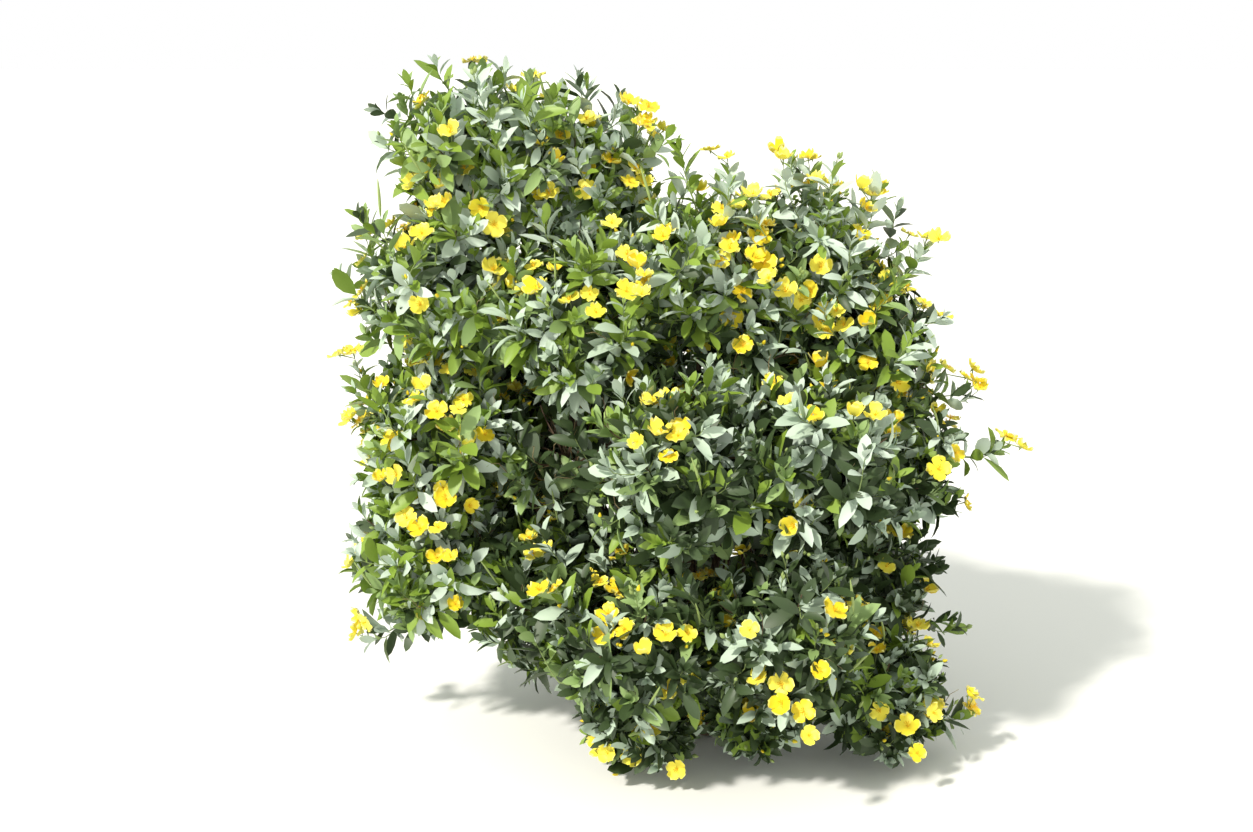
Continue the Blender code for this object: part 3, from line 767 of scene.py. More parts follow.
class Mass:
    """One mass of foliage: its space, its own seeded chance, and lists of what has grown in it."""

    def __init__(self, name):
        self.name = name
        self.centre = CENTRES[name]
        self.radius = RADII[name]
        self.leaf_size = LEAF_SIZES.get(name, 1.0)
        self.rng = random.Random(name)
        self.limbs, self.limb_ways = [], []
        self.twigs, self.leaves, self.blossoms, self.fruit = [], [], [], []

    def stray(self, amount):
        """A small random step in any direction."""
        return Vector([self.rng.gauss(0.0, amount) for _ in range(3)])

    def aimed(self, weights, *ways):
        """The ways added up by their weights, and a random step by the last weight."""
        total = Vector()
        for way, weight in zip(ways, weights):
            total += way * weight
        return total + self.stray(weights[-1])

    def reach(self, way, share):
        """How far out something may grow this way: the share of the radius, or as far as the wall."""
        depth = self.radius * share
        while depth > LEAST_REACH:
            place = self.centre + way * depth
            if room_in_cell(self.name, place) > -SHOOT_GIVE and place.z > LOWEST_TIP:
                break
            depth *= DRAWN_BACK
        return depth

    def faces_open_air(self, way):
        """True if the mass's ball isn't inside a neighbour's in this direction."""
        return room_in_cell(self.name, self.centre + way * self.radius) > 0.0

    def add_twig(self, line, kind):
        """Keeps a twig's line, lifted clear of the ground, with its radii and tint."""
        root, tip, tint = TWIGS[kind]
        for point in line:
            point.z = max(point.z, GROUND_GAP + root)
        self.twigs.append((line, tapered(root, tip, line), tint))


print("kinds of twig:", len(TWIGS))

# %% Limbs
LEADER_RISE = 0.30  # how far past the mass's middle the bough runs on, as a share of the radius
LEADER_SINK = 0.012  # how deep in the bough's tip it starts
LEADER_BEND = 0.5  # how much it turns up at its end
LEADER_STEPS = 9
LIMBS = 18  # limbs in a mass
LIMB_REACH = (0.62, 0.84)  # where they end, as shares of the mass's radius
LIMB_STRAY = 0.008
LIMB_RUN = 0.6  # how much a limb follows the bough's way at its root,
LIMB_LIFT = 0.6  # and how much it turns up at its end
LIMB_STEPS = 7
FIRST_FORK = 2.0  # the step of the leader at which limbs that grow backwards leave it,
FORK_SPACING = 2.4  # those that grow sideways leave this much later, and forward ones twice that
FIRST_JOINT = 2  # nothing leaves a limb before this step of it
JOINT_DEPTH = 0.01  # a joint lies at least this much nearer to the mass's middle than what leaves it
SHORTEST_SHOOT = 0.060
TURN_COST = 1.9  # a shoot leaves the limb that it can follow with the least way, least turning
RISE_GAIN = 0.7  # and most rise


def grow_limbs(mass, bough):
    """The bough's own run past the middle of the mass, and the limbs that leave it."""
    tip = bough[-1]
    into = (tip - bough[-2]).normalized()
    top = mass.centre + (into + UP).normalized() * mass.radius * LEADER_RISE
    way_out = (into + UP * LEADER_BEND).normalized()
    leader = curved(tip - into * LEADER_SINK, into, top, way_out, LEADER_STEPS)
    mass.add_twig(leader, "leader")
    mass.limbs.append(leader)
    for way in spiral(LIMBS):
        reach = mass.reach(way, mass.rng.uniform(*LIMB_REACH))
        end = mass.centre + way * reach + mass.stray(LIMB_STRAY)
        root = leader[round(FIRST_FORK + FORK_SPACING * (1.0 + way.dot(into)))]
        way_in, way_out = (into * LIMB_RUN + way).normalized(), (way + UP * LIMB_LIFT).normalized()
        limb = curved(root, way_in, end, way_out, LIMB_STEPS)
        mass.add_twig(limb, "limb")
        mass.limbs.append(limb)
        mass.limb_ways.append((end - mass.centre).normalized())


def joint_for(mass, tip):
    """Where a shoot with this tip leaves the limbs, and which way the limb runs there."""
    best, found = math.inf, None
    depth = (tip - mass.centre).length
    for limb in mass.limbs:
        for i in range(FIRST_JOINT, len(limb)):
            step = tip - limb[i]
            inward = depth - (limb[i] - mass.centre).length
            if inward < JOINT_DEPTH or step.length < SHORTEST_SHOOT:
                continue
            along = (limb[i] - limb[i - 1]).normalized()
            cost = step.length * (TURN_COST - along.dot(step.normalized()) - RISE_GAIN * step.normalized().z)
            if cost < best:
                best, found = cost, (limb[i], along)
    return found or (mass.limbs[0][-1], (tip - mass.limbs[0][-1]).normalized())


print("limbs in a mass:", LIMBS)

# %% Bare inner twigs
SHADED = ("left_middle", "middle", "back_low")  # masses that stand in the shade of others
INNER_TWIGS = 26  # in a mass, and twice as many in the shade
INNER_REACH = (0.45, 0.85)  # where they end, as shares of the mass's radius
INNER_STRAY = 0.02
INNER_CROOK = 0.5  # how much their ends turn off at random
INNER_STEPS = 4
INNER_DRY = 0.6  # share of them that is dead and dry


def grow_inner_twigs(mass):
    """Bare twigs, brown or straw-coloured, that have lost their leaves in the shade."""
    for way in spiral(INNER_TWIGS * 2 if mass.name in SHADED else INNER_TWIGS):
        reach = mass.reach(way, mass.rng.uniform(*INNER_REACH))
        end = mass.centre + way * reach + mass.stray(INNER_STRAY)
        root, along = joint_for(mass, end)
        line = curved(root, along, end, mass.aimed((1.0, INNER_CROOK), way).normalized(), INNER_STEPS)
        mass.add_twig(line, "dry twig" if mass.rng.random() < INNER_DRY else "inner twig")


print("inner twigs in a mass:", INNER_TWIGS)

# %% [markdown]
# ## Tints by spray
#
# Every shoot has two leaf tints, one for most of its leaves. The tints paint light and shade: high up and at
# the sides, where the lamp falls, leaves are painted silvery as a sunlit highlight over their real wax bloom,
# and some yellow-green as if light shone through them. Low down and in the shade they are painted deep green
# as shade. So both tints are drawn by lot, and the odds change from place to place.

# %% Which tints a shoot gets
# Silvery, deep green and yellow-green are painted light: a sunlit highlight, shade, and light shining
# through.
PAINTED_SUNLIT_SILVER, GLAUCOUS, GREY_GREEN, PAINTED_SHADE_GREEN, PAINTED_BACKLIT_GREEN = range(5)  # leaf tints
SHADE_ODDS = (0.0, 0.26, 0.16, 0.56, 0.02)  # of each tint for most of a shoot's leaves, in the shade
LIGHT_ODDS = (0.52, 0.14, 0.16, 0.0, 0.18)  # and in full light
LIGHT_ABOVE = (0.52, 0.45)  # it gets light from this height on, and it is in full light this much higher;
LIGHT_LEFT = (0.22, 0.30)  # the same, out to the left from the middle,
LIGHT_RIGHT = (0.25, 0.50)  # and to the right,
RIGHT_SHARE = 0.7  # which counts less
BACKLIT_SECOND = (0.15, 0.65)  # share of shoots whose second tint is the yellow-green of painted light shining through: in the shade, and more in the light
PALE_SECOND = 0.5  # share of the other deep green shoots whose second tint is a pale one
FIRST_TINT = 0.66  # share of a shoot's leaves in its first tint


def past(value, start, run):
    """How far a value is past the start, as a share of the run."""
    return max(0.0, (value - start) / run)


def tints_at(mass, place):
    """A shoot's first and second tint, which paint the light: pale and yellow-green as if lit through in the
    light, deep green as painted shade in the shade.
    """
    right = RIGHT_SHARE * past(place.x, *LIGHT_RIGHT)
    light = min(1.0, past(place.z, *LIGHT_ABOVE) + past(-place.x, *LIGHT_LEFT) + right)
    # a mass in the shade of others takes the odds that paint shade
    light = 0.0 if mass.name in SHADED else light
    odds = [shade + (sun - shade) * light for shade, sun in zip(SHADE_ODDS, LIGHT_ODDS)]
    first = mass.rng.choices(range(len(odds)), odds)[0]
    if mass.rng.random() < BACKLIT_SECOND[0] + BACKLIT_SECOND[1] * light:
        return first, GREY_GREEN if first == PAINTED_BACKLIT_GREEN else PAINTED_BACKLIT_GREEN
    pale = first == PAINTED_SHADE_GREEN and mass.rng.random() < PALE_SECOND
    return first, GLAUCOUS if pale else PAINTED_SHADE_GREEN


def one_of(mass, tints):
    """A shoot's first tint for most of its leaves, else the second."""
    return tints[0] if mass.rng.random() < FIRST_TINT else tints[1]


print("odds of silvery leaves in full light:", LIGHT_ODDS[PAINTED_SUNLIT_SILVER])

# %% [markdown]
# ## Leaves on a shoot
#
# The oldest leaves, lowest on a shoot, are the longest and stand out the most; those near the tip are small
# and upright. The leaves differ a little in width, fold, arch and twist, and a leaf whose tip would leave
# the mass's space is made shorter once, or left out.

# %% Where a shoot's leaves go
LEAF_LENGTH = 0.068  # of a full-grown leaf,
LENGTH_CHANCE = (0.70, 1.20)  # times a share between these
LEAF_WIDTH = 0.38  # as a share of the length
LEAF_FORMS = (  # width, fold along the midrib, arch backwards, twist in radians
    (LEAF_WIDTH, 0.35, 0.5, 0.1),
    (LEAF_WIDTH * 0.88, 0.55, 0.9, -0.3),
    (LEAF_WIDTH * 1.10, 0.22, 0.2, 0.2),
    (LEAF_WIDTH * 0.80, 0.45, 1.2, 0.4),
    (LEAF_WIDTH, 0.15, 0.8, -0.15),
)
ARCH_DROP = 0.30  # how far the tip of a leaf with an arch of 1 drops,
ARCH_SHORTER = 0.12  # and how much shorter the leaf looks
FULL_GROWN = 8.0  # from this leaf on, counted from the tip, all are as old as they get
YOUNG_LENGTH = 0.45  # length of the youngest, as a share,
GROWTH_RATE = 2.2  # and how soon leaves are full length, where 1 is with the oldest
LEAF_OPENING = (30.0, 40.0, 12.0)  # degrees off the shoot: the youngest, more for the oldest, and by chance
LEAF_PULLS = (0.12, 0.07)  # how much a leaf turns up, and strays
FACE_PULLS = (1.0, 0.45, 0.35, 0.34)  # how much its face turns to the tip, up and outwards, and strays
LEAF_SPACING = (0.0065, 0.0095)  # between the youngest, and more between the oldest
BARE_TIP = {"tuft": 0.004, "blossom": 0.016, "buds": 0.004, "pod": 0.016}  # shoot above its first leaf
LEAF_REACH = 1.12  # leaf tips may stand this far out, as a share of the mass's radius,
ANY_REACH = 4.0  # except on shoots that outgrow the rest
LOWEST_LEAF = {"skirt_left": 0.040, "skirt_middle": 0.014}  # no leaf's tip hangs lower than this,
LOWEST_ELSEWHERE = 0.022  # or than this in the other masses
DRAWN_IN = 0.72  # length of a leaf that has too little room, as a share


def on_arch(s, arch):
    """Where an arching leaf one unit long along +Y runs at this share of its length."""
    return Vector((0.0, s * (1.0 - ARCH_SHORTER * arch * s), -ARCH_DROP * arch * s * s))


def add_leaf(mass, joint, along, facing, length, tint, limit):
    """Keeps a leaf whose tip has room; one that hasn't is drawn in once, and else left out."""
    form = mass.rng.randrange(len(LEAF_FORMS))
    bent = on_arch(1.0, LEAF_FORMS[form][2])
    up_face = (facing - along * facing.dot(along)).normalized()
    for share in (1.0, DRAWN_IN):
        tip = joint + (along * bent.y + up_face * bent.z) * length * share
        near = (tip - mass.centre).length < mass.radius * limit
        high = tip.z > LOWEST_LEAF.get(mass.name, LOWEST_ELSEWHERE)
        if near and high and room_in_cell(mass.name, tip) > -LEAF_GIVE and in_the_box(tip):
            mass.leaves.append((joint, along, facing, length * share, tint, form))
            return


def dress(mass, line, leaves, tints, way, limit, ending):
    """Leaves down a shoot, each turned by the golden angle from the last."""
    turn = mass.rng.uniform(0.0, 2.0 * math.pi)
    down = BARE_TIP[ending]
    opening, more, chance = LEAF_OPENING
    for k in range(leaves):
        age = min(1.0, k / FULL_GROWN)
        joint, axis = back_from_tip(line, down)
        side = square_to(axis, turn + GOLDEN_ANGLE * k)
        spread = math.radians(opening + more * age + mass.rng.uniform(-chance, chance))
        along = mass.aimed((math.cos(spread), math.sin(spread), *LEAF_PULLS), axis, side, UP)
        grown = YOUNG_LENGTH + (1.0 - YOUNG_LENGTH) * min(1.0, age * GROWTH_RATE)
        length = LEAF_LENGTH * mass.leaf_size * grown * mass.rng.uniform(*LENGTH_CHANCE)
        facing = mass.aimed(FACE_PULLS, axis, UP, way)
        add_leaf(mass, joint, along.normalized(), facing, length, one_of(mass, tints), limit)
        down += (LEAF_SPACING[0] + LEAF_SPACING[1] * age) * mass.leaf_size


print("leaves are up to", round(LEAF_LENGTH * LENGTH_CHANCE[1] * 1000.0), "mm long")

# %% [markdown]
# ## What a shoot ends in
#
# Most shoots are still growing and end in a tuft of small upright leaves. Others have flowered or are about
# to. A blossom stands on a short bare stalk and turns to the light; it opens from a cup to almost flat. How
# freely a mass flowers follows the real shrub, where blossoms crowd at the shoulder and on the left flank.

# %% Tufts, blossoms, buds and pods
TUFT_LEAVES = (3, 4)
TUFT_TURN = 2.0  # radians from each leaf to the next
TUFT_SPREAD = (0.15, 0.5)  # how far they lean out
TUFT_STRAY = 0.06
TUFT_FACING = 0.3  # how much their faces turn to the tip
TUFT_LENGTHS = (0.34, 0.62)  # as shares of a full-grown leaf

BLOSSOM_ACROSS = 0.047  # of a blossom,
BLOSSOM_CHANCE = (0.78, 1.10)  # times a share between these
BLOSSOM_TINTS = 3
SHAPE_ODDS = (3, 4, 4, 2, 1)  # of each blossom shape, from wide open to half closed
MORE_BLOSSOMS = (0.66, 0.28, 0.06)  # odds of none, one and two more beside the first
MORE_AWAY = (0.030, 0.044)  # how far from the tip those stand
MORE_RISE = 0.3  # and how much they turn along the shoot
BLOSSOM_PULLS = (0.55, 0.3, 0.40, 0.35, 0.22)  # it turns out, along the shoot, up and sunwards, and strays
FIRST_STALK = 0.004
HEART_AHEAD = 0.008  # a blossom's heart stands this far before its place,
BLOSSOM_DEPTH = 0.012  # and its petals this far before its heart
LOWEST_BLOSSOM = 0.6  # height of the lowest heart, as a share of a blossom's width

BUDS = (1, 3)  # in a bunch
BUD_STRAY = 0.35
BUD_STALKS = (0.008, 0.018)
BUD_LENGTHS = (0.011, 0.017)
BUD_ROOM = 0.016
OPENING_SHARE = 0.3  # share of the buds that are about to open
POD_PULLS = (1.0, 0.3, 0.2)  # how much a pod follows the shoot and turns up, and strays
POD_LENGTHS = (0.050, 0.075)
POD_STRAIGHT = 0.5  # share of the pods that are almost straight
BUD, OPENING_BUD, POD, BENT_POD = range(4)  # fruit shapes


def end_in_tuft(mass, tip, axis, way, tints):
    """A few young leaves that stand almost upright round the tip."""
    for k in range(mass.rng.randint(*TUFT_LEAVES)):
        side = square_to(axis, k * TUFT_TURN)
        along = mass.aimed((1.0, mass.rng.uniform(*TUFT_SPREAD), TUFT_STRAY), axis, side).normalized()
        length = LEAF_LENGTH * mass.leaf_size * mass.rng.uniform(*TUFT_LENGTHS)
        add_leaf(mass, tip, along, axis * TUFT_FACING - side, length, one_of(mass, tints), ANY_REACH)


def add_blossom(mass, tip, place, axis, way):
    """A blossom near the shoot's tip, if there is room for it."""
    facing = mass.aimed(BLOSSOM_PULLS, way, axis, UP, SUNWARD).normalized()
    heart = place + facing * HEART_AHEAD
    high = heart.z > BLOSSOM_ACROSS * LOWEST_BLOSSOM
    if high and room_in_cell(mass.name, heart) > -LEAF_GIVE and in_the_box(heart + facing * BLOSSOM_DEPTH):
        size = BLOSSOM_ACROSS * mass.rng.uniform(*BLOSSOM_CHANCE)
        shape = mass.rng.choices(range(len(SHAPE_ODDS)), SHAPE_ODDS)[0]
        spun = square_to(facing, mass.rng.uniform(0.0, 2.0 * math.pi))
        mass.blossoms.append((heart, spun, facing, size, mass.rng.randrange(BLOSSOM_TINTS), shape))
        mass.add_twig([tip, heart], "blossom stalk")


def end_in_blossoms(mass, tip, axis, way, tints):
    """One to three blossoms on short bare stalks."""
    add_blossom(mass, tip, tip + axis * FIRST_STALK, axis, way)
    for _ in range(mass.rng.choices(range(len(MORE_BLOSSOMS)), MORE_BLOSSOMS)[0]):
        side = (mass.stray(1.0).cross(axis).normalized() + axis * MORE_RISE).normalized()
        add_blossom(mass, tip, tip + side * mass.rng.uniform(*MORE_AWAY), axis, way)


def end_in_buds(mass, tip, axis, way, tints):
    """One to three egg-shaped buds on thin stalks."""
    for _ in range(mass.rng.randint(*BUDS)):
        along = mass.aimed((1.0, BUD_STRAY), axis).normalized()
        foot = tip + along * mass.rng.uniform(*BUD_STALKS)
        if in_the_box(foot + along * BUD_ROOM):
            mass.add_twig([tip, foot], "bud stalk")
            shape = OPENING_BUD if mass.rng.random() < OPENING_SHARE else BUD
            mass.fruit.append((foot, along, along.orthogonal(), mass.rng.uniform(*BUD_LENGTHS), 0, shape))


def end_in_pod(mass, tip, axis, way, tints):
    """A slender pod that stands up where a blossom has fallen."""
    along = mass.aimed(POD_PULLS, axis, UP).normalized()
    size = mass.rng.uniform(*POD_LENGTHS)
    if in_the_box(tip + along * size):
        shape = POD if mass.rng.random() < POD_STRAIGHT else BENT_POD
        mass.fruit.append((tip, along, along.orthogonal(), size, 0, shape))


ENDINGS = {"tuft": end_in_tuft, "blossom": end_in_blossoms, "buds": end_in_buds, "pod": end_in_pod}
print("a shoot ends in:", ", ".join(ENDINGS))

# %% How a shoot's end is drawn by lot
FLOWERING = {  # share of a mass's shoots that end in blossoms,
    "shoulder": 0.34, "right_high": 0.30, "left_flank": 0.32, "centre_high": 0.24, "front_left": 0.22,
    "upper_middle": 0.20, "peak_right": 0.20, "upper_left": 0.18, "left_low": 0.18, "right_flank": 0.18,
    "peak": 0.20, "front_middle": 0.12, "right_low": 0.06, "centre": 0.07, "right_front": 0.06,
    "middle": 0.04, "left_middle": 0.04,
}
FLOWERING_ELSEWHERE = 0.14  # and in the other masses
FLOWERING_UPWARDS = 0.10  # more at a mass's top and less underneath,
FEWEST_BLOSSOMS = 0.02  # but no less than this
DIM_SIDES = (-0.42, -0.20)  # the crown hangs over this stretch from left to right,
DIM_TOP = 0.36  # up to this height,
DIM_FLOWERING = 0.15  # and flowers this much there, as a share
BUD_ODDS = 0.14
POD_ODDS = 0.04


def chosen_ending(mass, tip, way):
    """What a shoot with this tip ends in."""
    flowering = FLOWERING.get(mass.name, FLOWERING_ELSEWHERE) + FLOWERING_UPWARDS * way.z
    flowering = max(FEWEST_BLOSSOMS, flowering)
    if tip.z < DIM_TOP and DIM_SIDES[0] < tip.x < DIM_SIDES[1]:
        flowering *= DIM_FLOWERING
    odds = (1.0 - BUD_ODDS - POD_ODDS - flowering, flowering, BUD_ODDS, POD_ODDS)
    return mass.rng.choices(list(ENDINGS), odds)[0]


print("flowers most freely:", max(FLOWERING, key=FLOWERING.get))

# %% [markdown]
# ## Shoots
#
# Shoots start from the limb that they can follow best, and end all round the mass. They are longest over a
# limb, which gives the crown its tufted look, and a few outgrow the rest against the sky. In the masses at
# the top more of them do so and the rest stay shorter, so that the sky shows between them. Masses in the
# shade of others keep leaves on only a few shoots.

# %% Grow the crown
SHOOTS = 140  # shoots tried all round a mass
SHOOT_REACH = (0.68, 0.95)  # where they end, as shares of the mass's radius
SHOOT_STRAY = 0.05
SHOOT_STEPS = 5
SHOOT_PULLS = (0.40, 0.35, 0.80, 0.18)  # its end turns out, away from the stem's head and up, and strays
CLUMPING = 1.3  # how much shorter it is for each unit that it turns off from the nearest limb
LEGGY = 0.10  # share of the shoots in open air that outgrow the rest,
LEGGY_RISE = 0.1  # if they rise more than this,
LEGGY_REACH = (0.96, 1.16)  # and where those end
AIRY = ("peak", "peak_right", "upper_left", "centre_high", "shoulder", "right_high")  # open towards the sky,
AIRY_LEGGY = 0.30  # with more shoots that outgrow the rest,
AIRY_EASE = 0.15  # and the rest shorter by this at the top
SHADED_SHOOTS = 0.18  # share of the shoots of a shaded mass that keeps its leaves
SHALLOWEST = 0.54  # a shoot that a neighbour's wall stops below this share doesn't grow
LEAVES_ON_SHOOT = (8, 12)
SPRIG_LEAVES, SPRAY_LEAVES = 9, 15
SPRIG_SHORT = 0.016  # a sprig ends this much short of its place, with room for what it bears,
SPRAY_SHORT = {"tuft": 0.030, "blossom": 0.018}  # and a long spray this much
SPRIG_JOINT = 0.8  # both leave the limbs below this share of the mass's radius


def grow_shoot(mass, root, along, tip, way, leaves, kind, limit, ending=None):
    """A twig from the root to the tip, its leaves, and what it ends in."""
    growth = (tip - HEAD).normalized()
    way_out = mass.aimed(SHOOT_PULLS, way, growth, UP).normalized()
    line = curved(root, along, tip, way_out, SHOOT_STEPS)
    tints = tints_at(mass, tip)
    mass.add_twig(line, kind)
    ending = ending or chosen_ending(mass, tip, way)
    dress(mass, line, leaves, tints, way, limit, ending)
    end, axis = back_from_tip(line, 0.0)
    ENDINGS[ending](mass, end, axis, way, tints)


def grow_out_to(mass, place, short, leaves, kind, ending):
    """A shoot that ends a little short of a given place at the crown's edge."""
    far = Vector(place)
    way = (far - mass.centre).normalized()
    root, along = joint_for(mass, mass.centre + way * mass.radius * SPRIG_JOINT)
    grow_shoot(mass, root, along, far - way * short, way, leaves, kind, ANY_REACH, ending)


def grow_shoots(mass):
    """Shoots all round the mass, longest over its limbs."""
    airy = mass.name in AIRY
    for way in spiral(SHOOTS):
        share = mass.rng.uniform(*SHOOT_REACH)
        leggy = False
        if mass.faces_open_air(way):
            share -= CLUMPING * (1.0 - max(way.dot(limb) for limb in mass.limb_ways))
            share -= AIRY_EASE * max(0.0, way.z) if airy else 0.0
            leggy = way.z > LEGGY_RISE and mass.rng.random() < (AIRY_LEGGY if airy else LEGGY)
        if leggy:
            share = mass.rng.uniform(*LEGGY_REACH)
        reach = mass.reach(way, share)
        tip = mass.centre + mass.aimed((1.0, SHOOT_STRAY), way).normalized() * reach
        leafy = mass.name not in SHADED or mass.rng.random() < SHADED_SHOOTS
        if leafy and reach > SHALLOWEST * mass.radius and in_the_box(tip):
            root, along = joint_for(mass, tip)
            leaves = round(mass.rng.randint(*LEAVES_ON_SHOOT) / mass.leaf_size)
            grow_shoot(mass, root, along, tip, way, leaves, "shoot", ANY_REACH if leggy else LEAF_REACH)


def grown(name, bough):
    """A whole mass, from its limbs to the last bud."""
    mass = Mass(name)
    grow_limbs(mass, bough)
    grow_inner_twigs(mass)
    for count, place in enumerate(LONG_SPRAYS.get(name, ())):
        ending = ("tuft", "blossom")[count % 2]
        grow_out_to(mass, place, SPRAY_SHORT[ending], SPRAY_LEAVES, "long spray", ending)
    for place, ending in SPRIGS.get(name, ()):
        grow_out_to(mass, place, SPRIG_SHORT, SPRIG_LEAVES, "sprig", ending)
    grow_shoots(mass)
    return mass


CROWN = {name: grown(name, line) for name, line in BOUGH_LINES.items()}
for kind in ("twigs", "leaves", "blossoms", "fruit"):
    print(kind + ":", sum(len(getattr(mass, kind)) for mass in CROWN.values()))

# %% [markdown]
# ## One tree for everything that sits on a point
#
# Leaves, blossoms and fruit are all the same task: a shape at a place, its length one way and its face
# another, at a size, in a tint. So one tree serves all three. It picks each shape from a collection by
# number, which costs nothing for each further leaf, and deals out plain colours. A painted pattern would be
# lost on leaves this small, while one or two plain colours for each spray are what the eye reads from a
# step away.

# %% The tree
SEED = 11


def sprays_tree(name, tints, parts):
    """Shapes on points. Tints go by the point's number, and parts by the number of the shape's faces."""
    tree, given = new_tree(name, {"Shapes": "Collection", "Size spread": "Float", "Seed": "Int"})
    shapes = add_node(tree, "GeometryNodeCollectionInfo", {
        "Collection": given.outputs["Shapes"], "Separate Children": True, "Reset Children": True,
    })
    turn = add_node(tree, "FunctionNodeAxesToRotation", {
        "Primary Axis": named(tree, "along", "FLOAT_VECTOR"),
        "Secondary Axis": named(tree, "facing", "FLOAT_VECTOR"),
    }, primary_axis="Y", secondary_axis="Z")
    least = add_node(tree, "ShaderNodeMath", {0: 1.0, 1: given.outputs["Size spread"]}, operation="SUBTRACT")
    chance = add_node(tree, "FunctionNodeRandomValue", {
        2: least.outputs[0], 3: 1.0, "Seed": given.outputs["Seed"],
    }, data_type="FLOAT")
    size = add_node(tree, "ShaderNodeMath", {0: named(tree, "size", "FLOAT"), 1: chance.outputs[1]},
                    operation="MULTIPLY")
    placed = add_node(tree, "GeometryNodeInstanceOnPoints", {
        "Points": given.outputs["Geometry"], "Instance": shapes.outputs[0], "Pick Instance": True,
        "Instance Index": named(tree, "shape", "INT"), "Rotation": turn.outputs[0], "Scale": size.outputs[0],
    })
    coloured = dressed(tree, realized(tree, placed.outputs[0]), "tint", tints)
    add_node(tree, "NodeGroupOutput", {0: dressed(tree, coloured, "part", parts)})
    return tree


def shape_collection(name, shapes):
    """A collection of shapes for the tree, each given as points, faces and its faces' part numbers."""
    found = bpy.data.collections.new(name)
    for k, (points, faces, parts) in enumerate(shapes):
        mesh = bpy.data.meshes.new(f"{name}_{k}")
        mesh.from_pydata(points, [], faces)
        mesh.attributes.new("part", "INT", "FACE").data.foreach_set("value", np.array(parts, np.int32))
        found.objects.link(bpy.data.objects.new(mesh.name, mesh))
    return found


def on_points(name, rows, tree, shapes, spread):
    """One piece from rows of (place, along, facing, size, tint, shape)."""
    places, *columns = (list(column) for column in zip(*rows))
    base = carrier(places, [], dict(zip(("along", "facing", "size", "tint", "shape"), columns)))
    return finished(name, base, tree, **{"Shapes": shapes, "Size spread": spread, "Seed": SEED})


def drop_shapes(found):
    """Removes a collection of shapes and what is in it."""
    for thing in list(found.objects):
        bpy.data.objects.remove(thing)
    bpy.data.collections.remove(found)


print("seed of the small differences in size:", SEED)

# %% [markdown]
# ## Leaves
#
# A leaf is lance-shaped, up to about 80 mm long and a third as wide or a little more, stiff, with a sharp
# tip and a short stalk. It is folded a little along its midrib and arches back. Four stations along it and
# three points across are enough for that outline. The waxy bloom scatters light, so the leaf is matte and
# pale; young growth is a fresh yellow-green. The tints also paint light and shade: sprays in the light are
# painted paler, or yellow-green as if lit through, and sprays in the shade are painted deep green.

# %% Leaf shapes
LEAF_STATIONS = ((0.08, 0.24), (0.30, 0.84), (0.57, 1.0), (0.84, 0.64))  # (along, width), as shares


def leaf_shape(width, fold, arch, twist):
    """A blade one unit long along +Y, its face up: a stalk end, stations across the blade, and the tip."""
    points = [on_arch(0.0, arch)]
    for s, share in LEAF_STATIONS:
        half = width * share / 2.0
        turn = Matrix.Rotation(twist * s, 3, "Y")
        for side in (-1.0, 0.0, 1.0):
            points.append(on_arch(s, arch) + turn @ Vector((side * half, 0.0, abs(side) * half * fold)))
    points.append(on_arch(1.0, arch))
    faces = [(0, 2, 1), (0, 3, 2)]
    for row in range(1, len(points) - 4, 3):
        faces += [(row, row + 1, row + 4, row + 3), (row + 1, row + 2, row + 5, row + 4)]
    last = len(points) - 1
    faces += [(last - 3, last - 2, last), (last - 2, last - 1, last)]
    return points, faces, [0] * len(faces)


leaf_shapes = shape_collection("leaf_shapes", [leaf_shape(*form) for form in LEAF_FORMS])

# %% Leaf colours
LEAF_SIZE_SPREAD = 0.08
# The silvery, deep green and yellow-green tints paint light: a sunlit highlight, shade, and light through a
# leaf.
LEAF_LOOKS = [
    surface("silvery leaf with thick wax bloom", "#c0cfc0", 0.62),  # wax hides the green and kills gloss; paler still as a painted sunlit highlight
    surface("glaucous leaf with wax bloom", "#b3c5b0", 0.60),  # thinner wax lets some green through
    surface("grey-green leaf", "#8ca666", 0.55),  # bloom half worn off
    surface("deep green leaf", "#394b2a", 0.50),  # an old leaf whose wax has gone, darkened further as painted shade
    surface("fresh yellow-green leaf", "#7f9a38", 0.48),  # young and thin; its yellow-green paints light shining through it
]
leaf_tree = sprays_tree("leaves on shoots", LEAF_LOOKS, [])
LEAF_PIECES = {
    name: on_points("leaves_" + name, mass.leaves, leaf_tree, leaf_shapes, LEAF_SIZE_SPREAD)
    for name, mass in CROWN.items()
}
drop_shapes(leaf_shapes)
print("leaf faces:", sum(len(piece.data.polygons) for piece in LEAF_PIECES.values()))

# %% [markdown]
# ## Twigs
#
# The woody limbs are brown, dead twigs inside the crown bleach to straw, and this year's shoots are green.
# They are thin, so three sides are enough, and a plain colour for each kind tells them apart.

# %% Twigs along lines
TWIG_SIDES = 3
TWIG_LOOKS = [
    surface("thin brown bark", "#5a4836", 0.85),  # dry and dull
    surface("dry straw twig", "#9c8a66", 0.80),  # bare wood that the sun has bleached
    surface("green shoot", "#84965a", 0.55),  # living skin with a faint bloom
]


def twig_tree():
    """Lines with a thickness become thin tapering twigs."""
    tree, given = new_tree("twigs on lines", {"Sides": "Int"})
    lines = add_node(tree, "GeometryNodeMeshToCurve", {"Mesh": given.outputs["Geometry"]})
    twigs = realized(tree, tubes(tree, lines.outputs[0], given.outputs["Sides"]))
    add_node(tree, "NodeGroupOutput", {0: dressed(tree, twigs, "tint", TWIG_LOOKS)})
    return tree


twigs_on_lines = twig_tree()
TWIG_PIECES = {
    name: finished("twigs_" + name, gathered(mass.twigs), twigs_on_lines, Sides=TWIG_SIDES)
    for name, mass in CROWN.items()
}
print("twig faces:", sum(len(piece.data.polygons) for piece in TWIG_PIECES.values()))
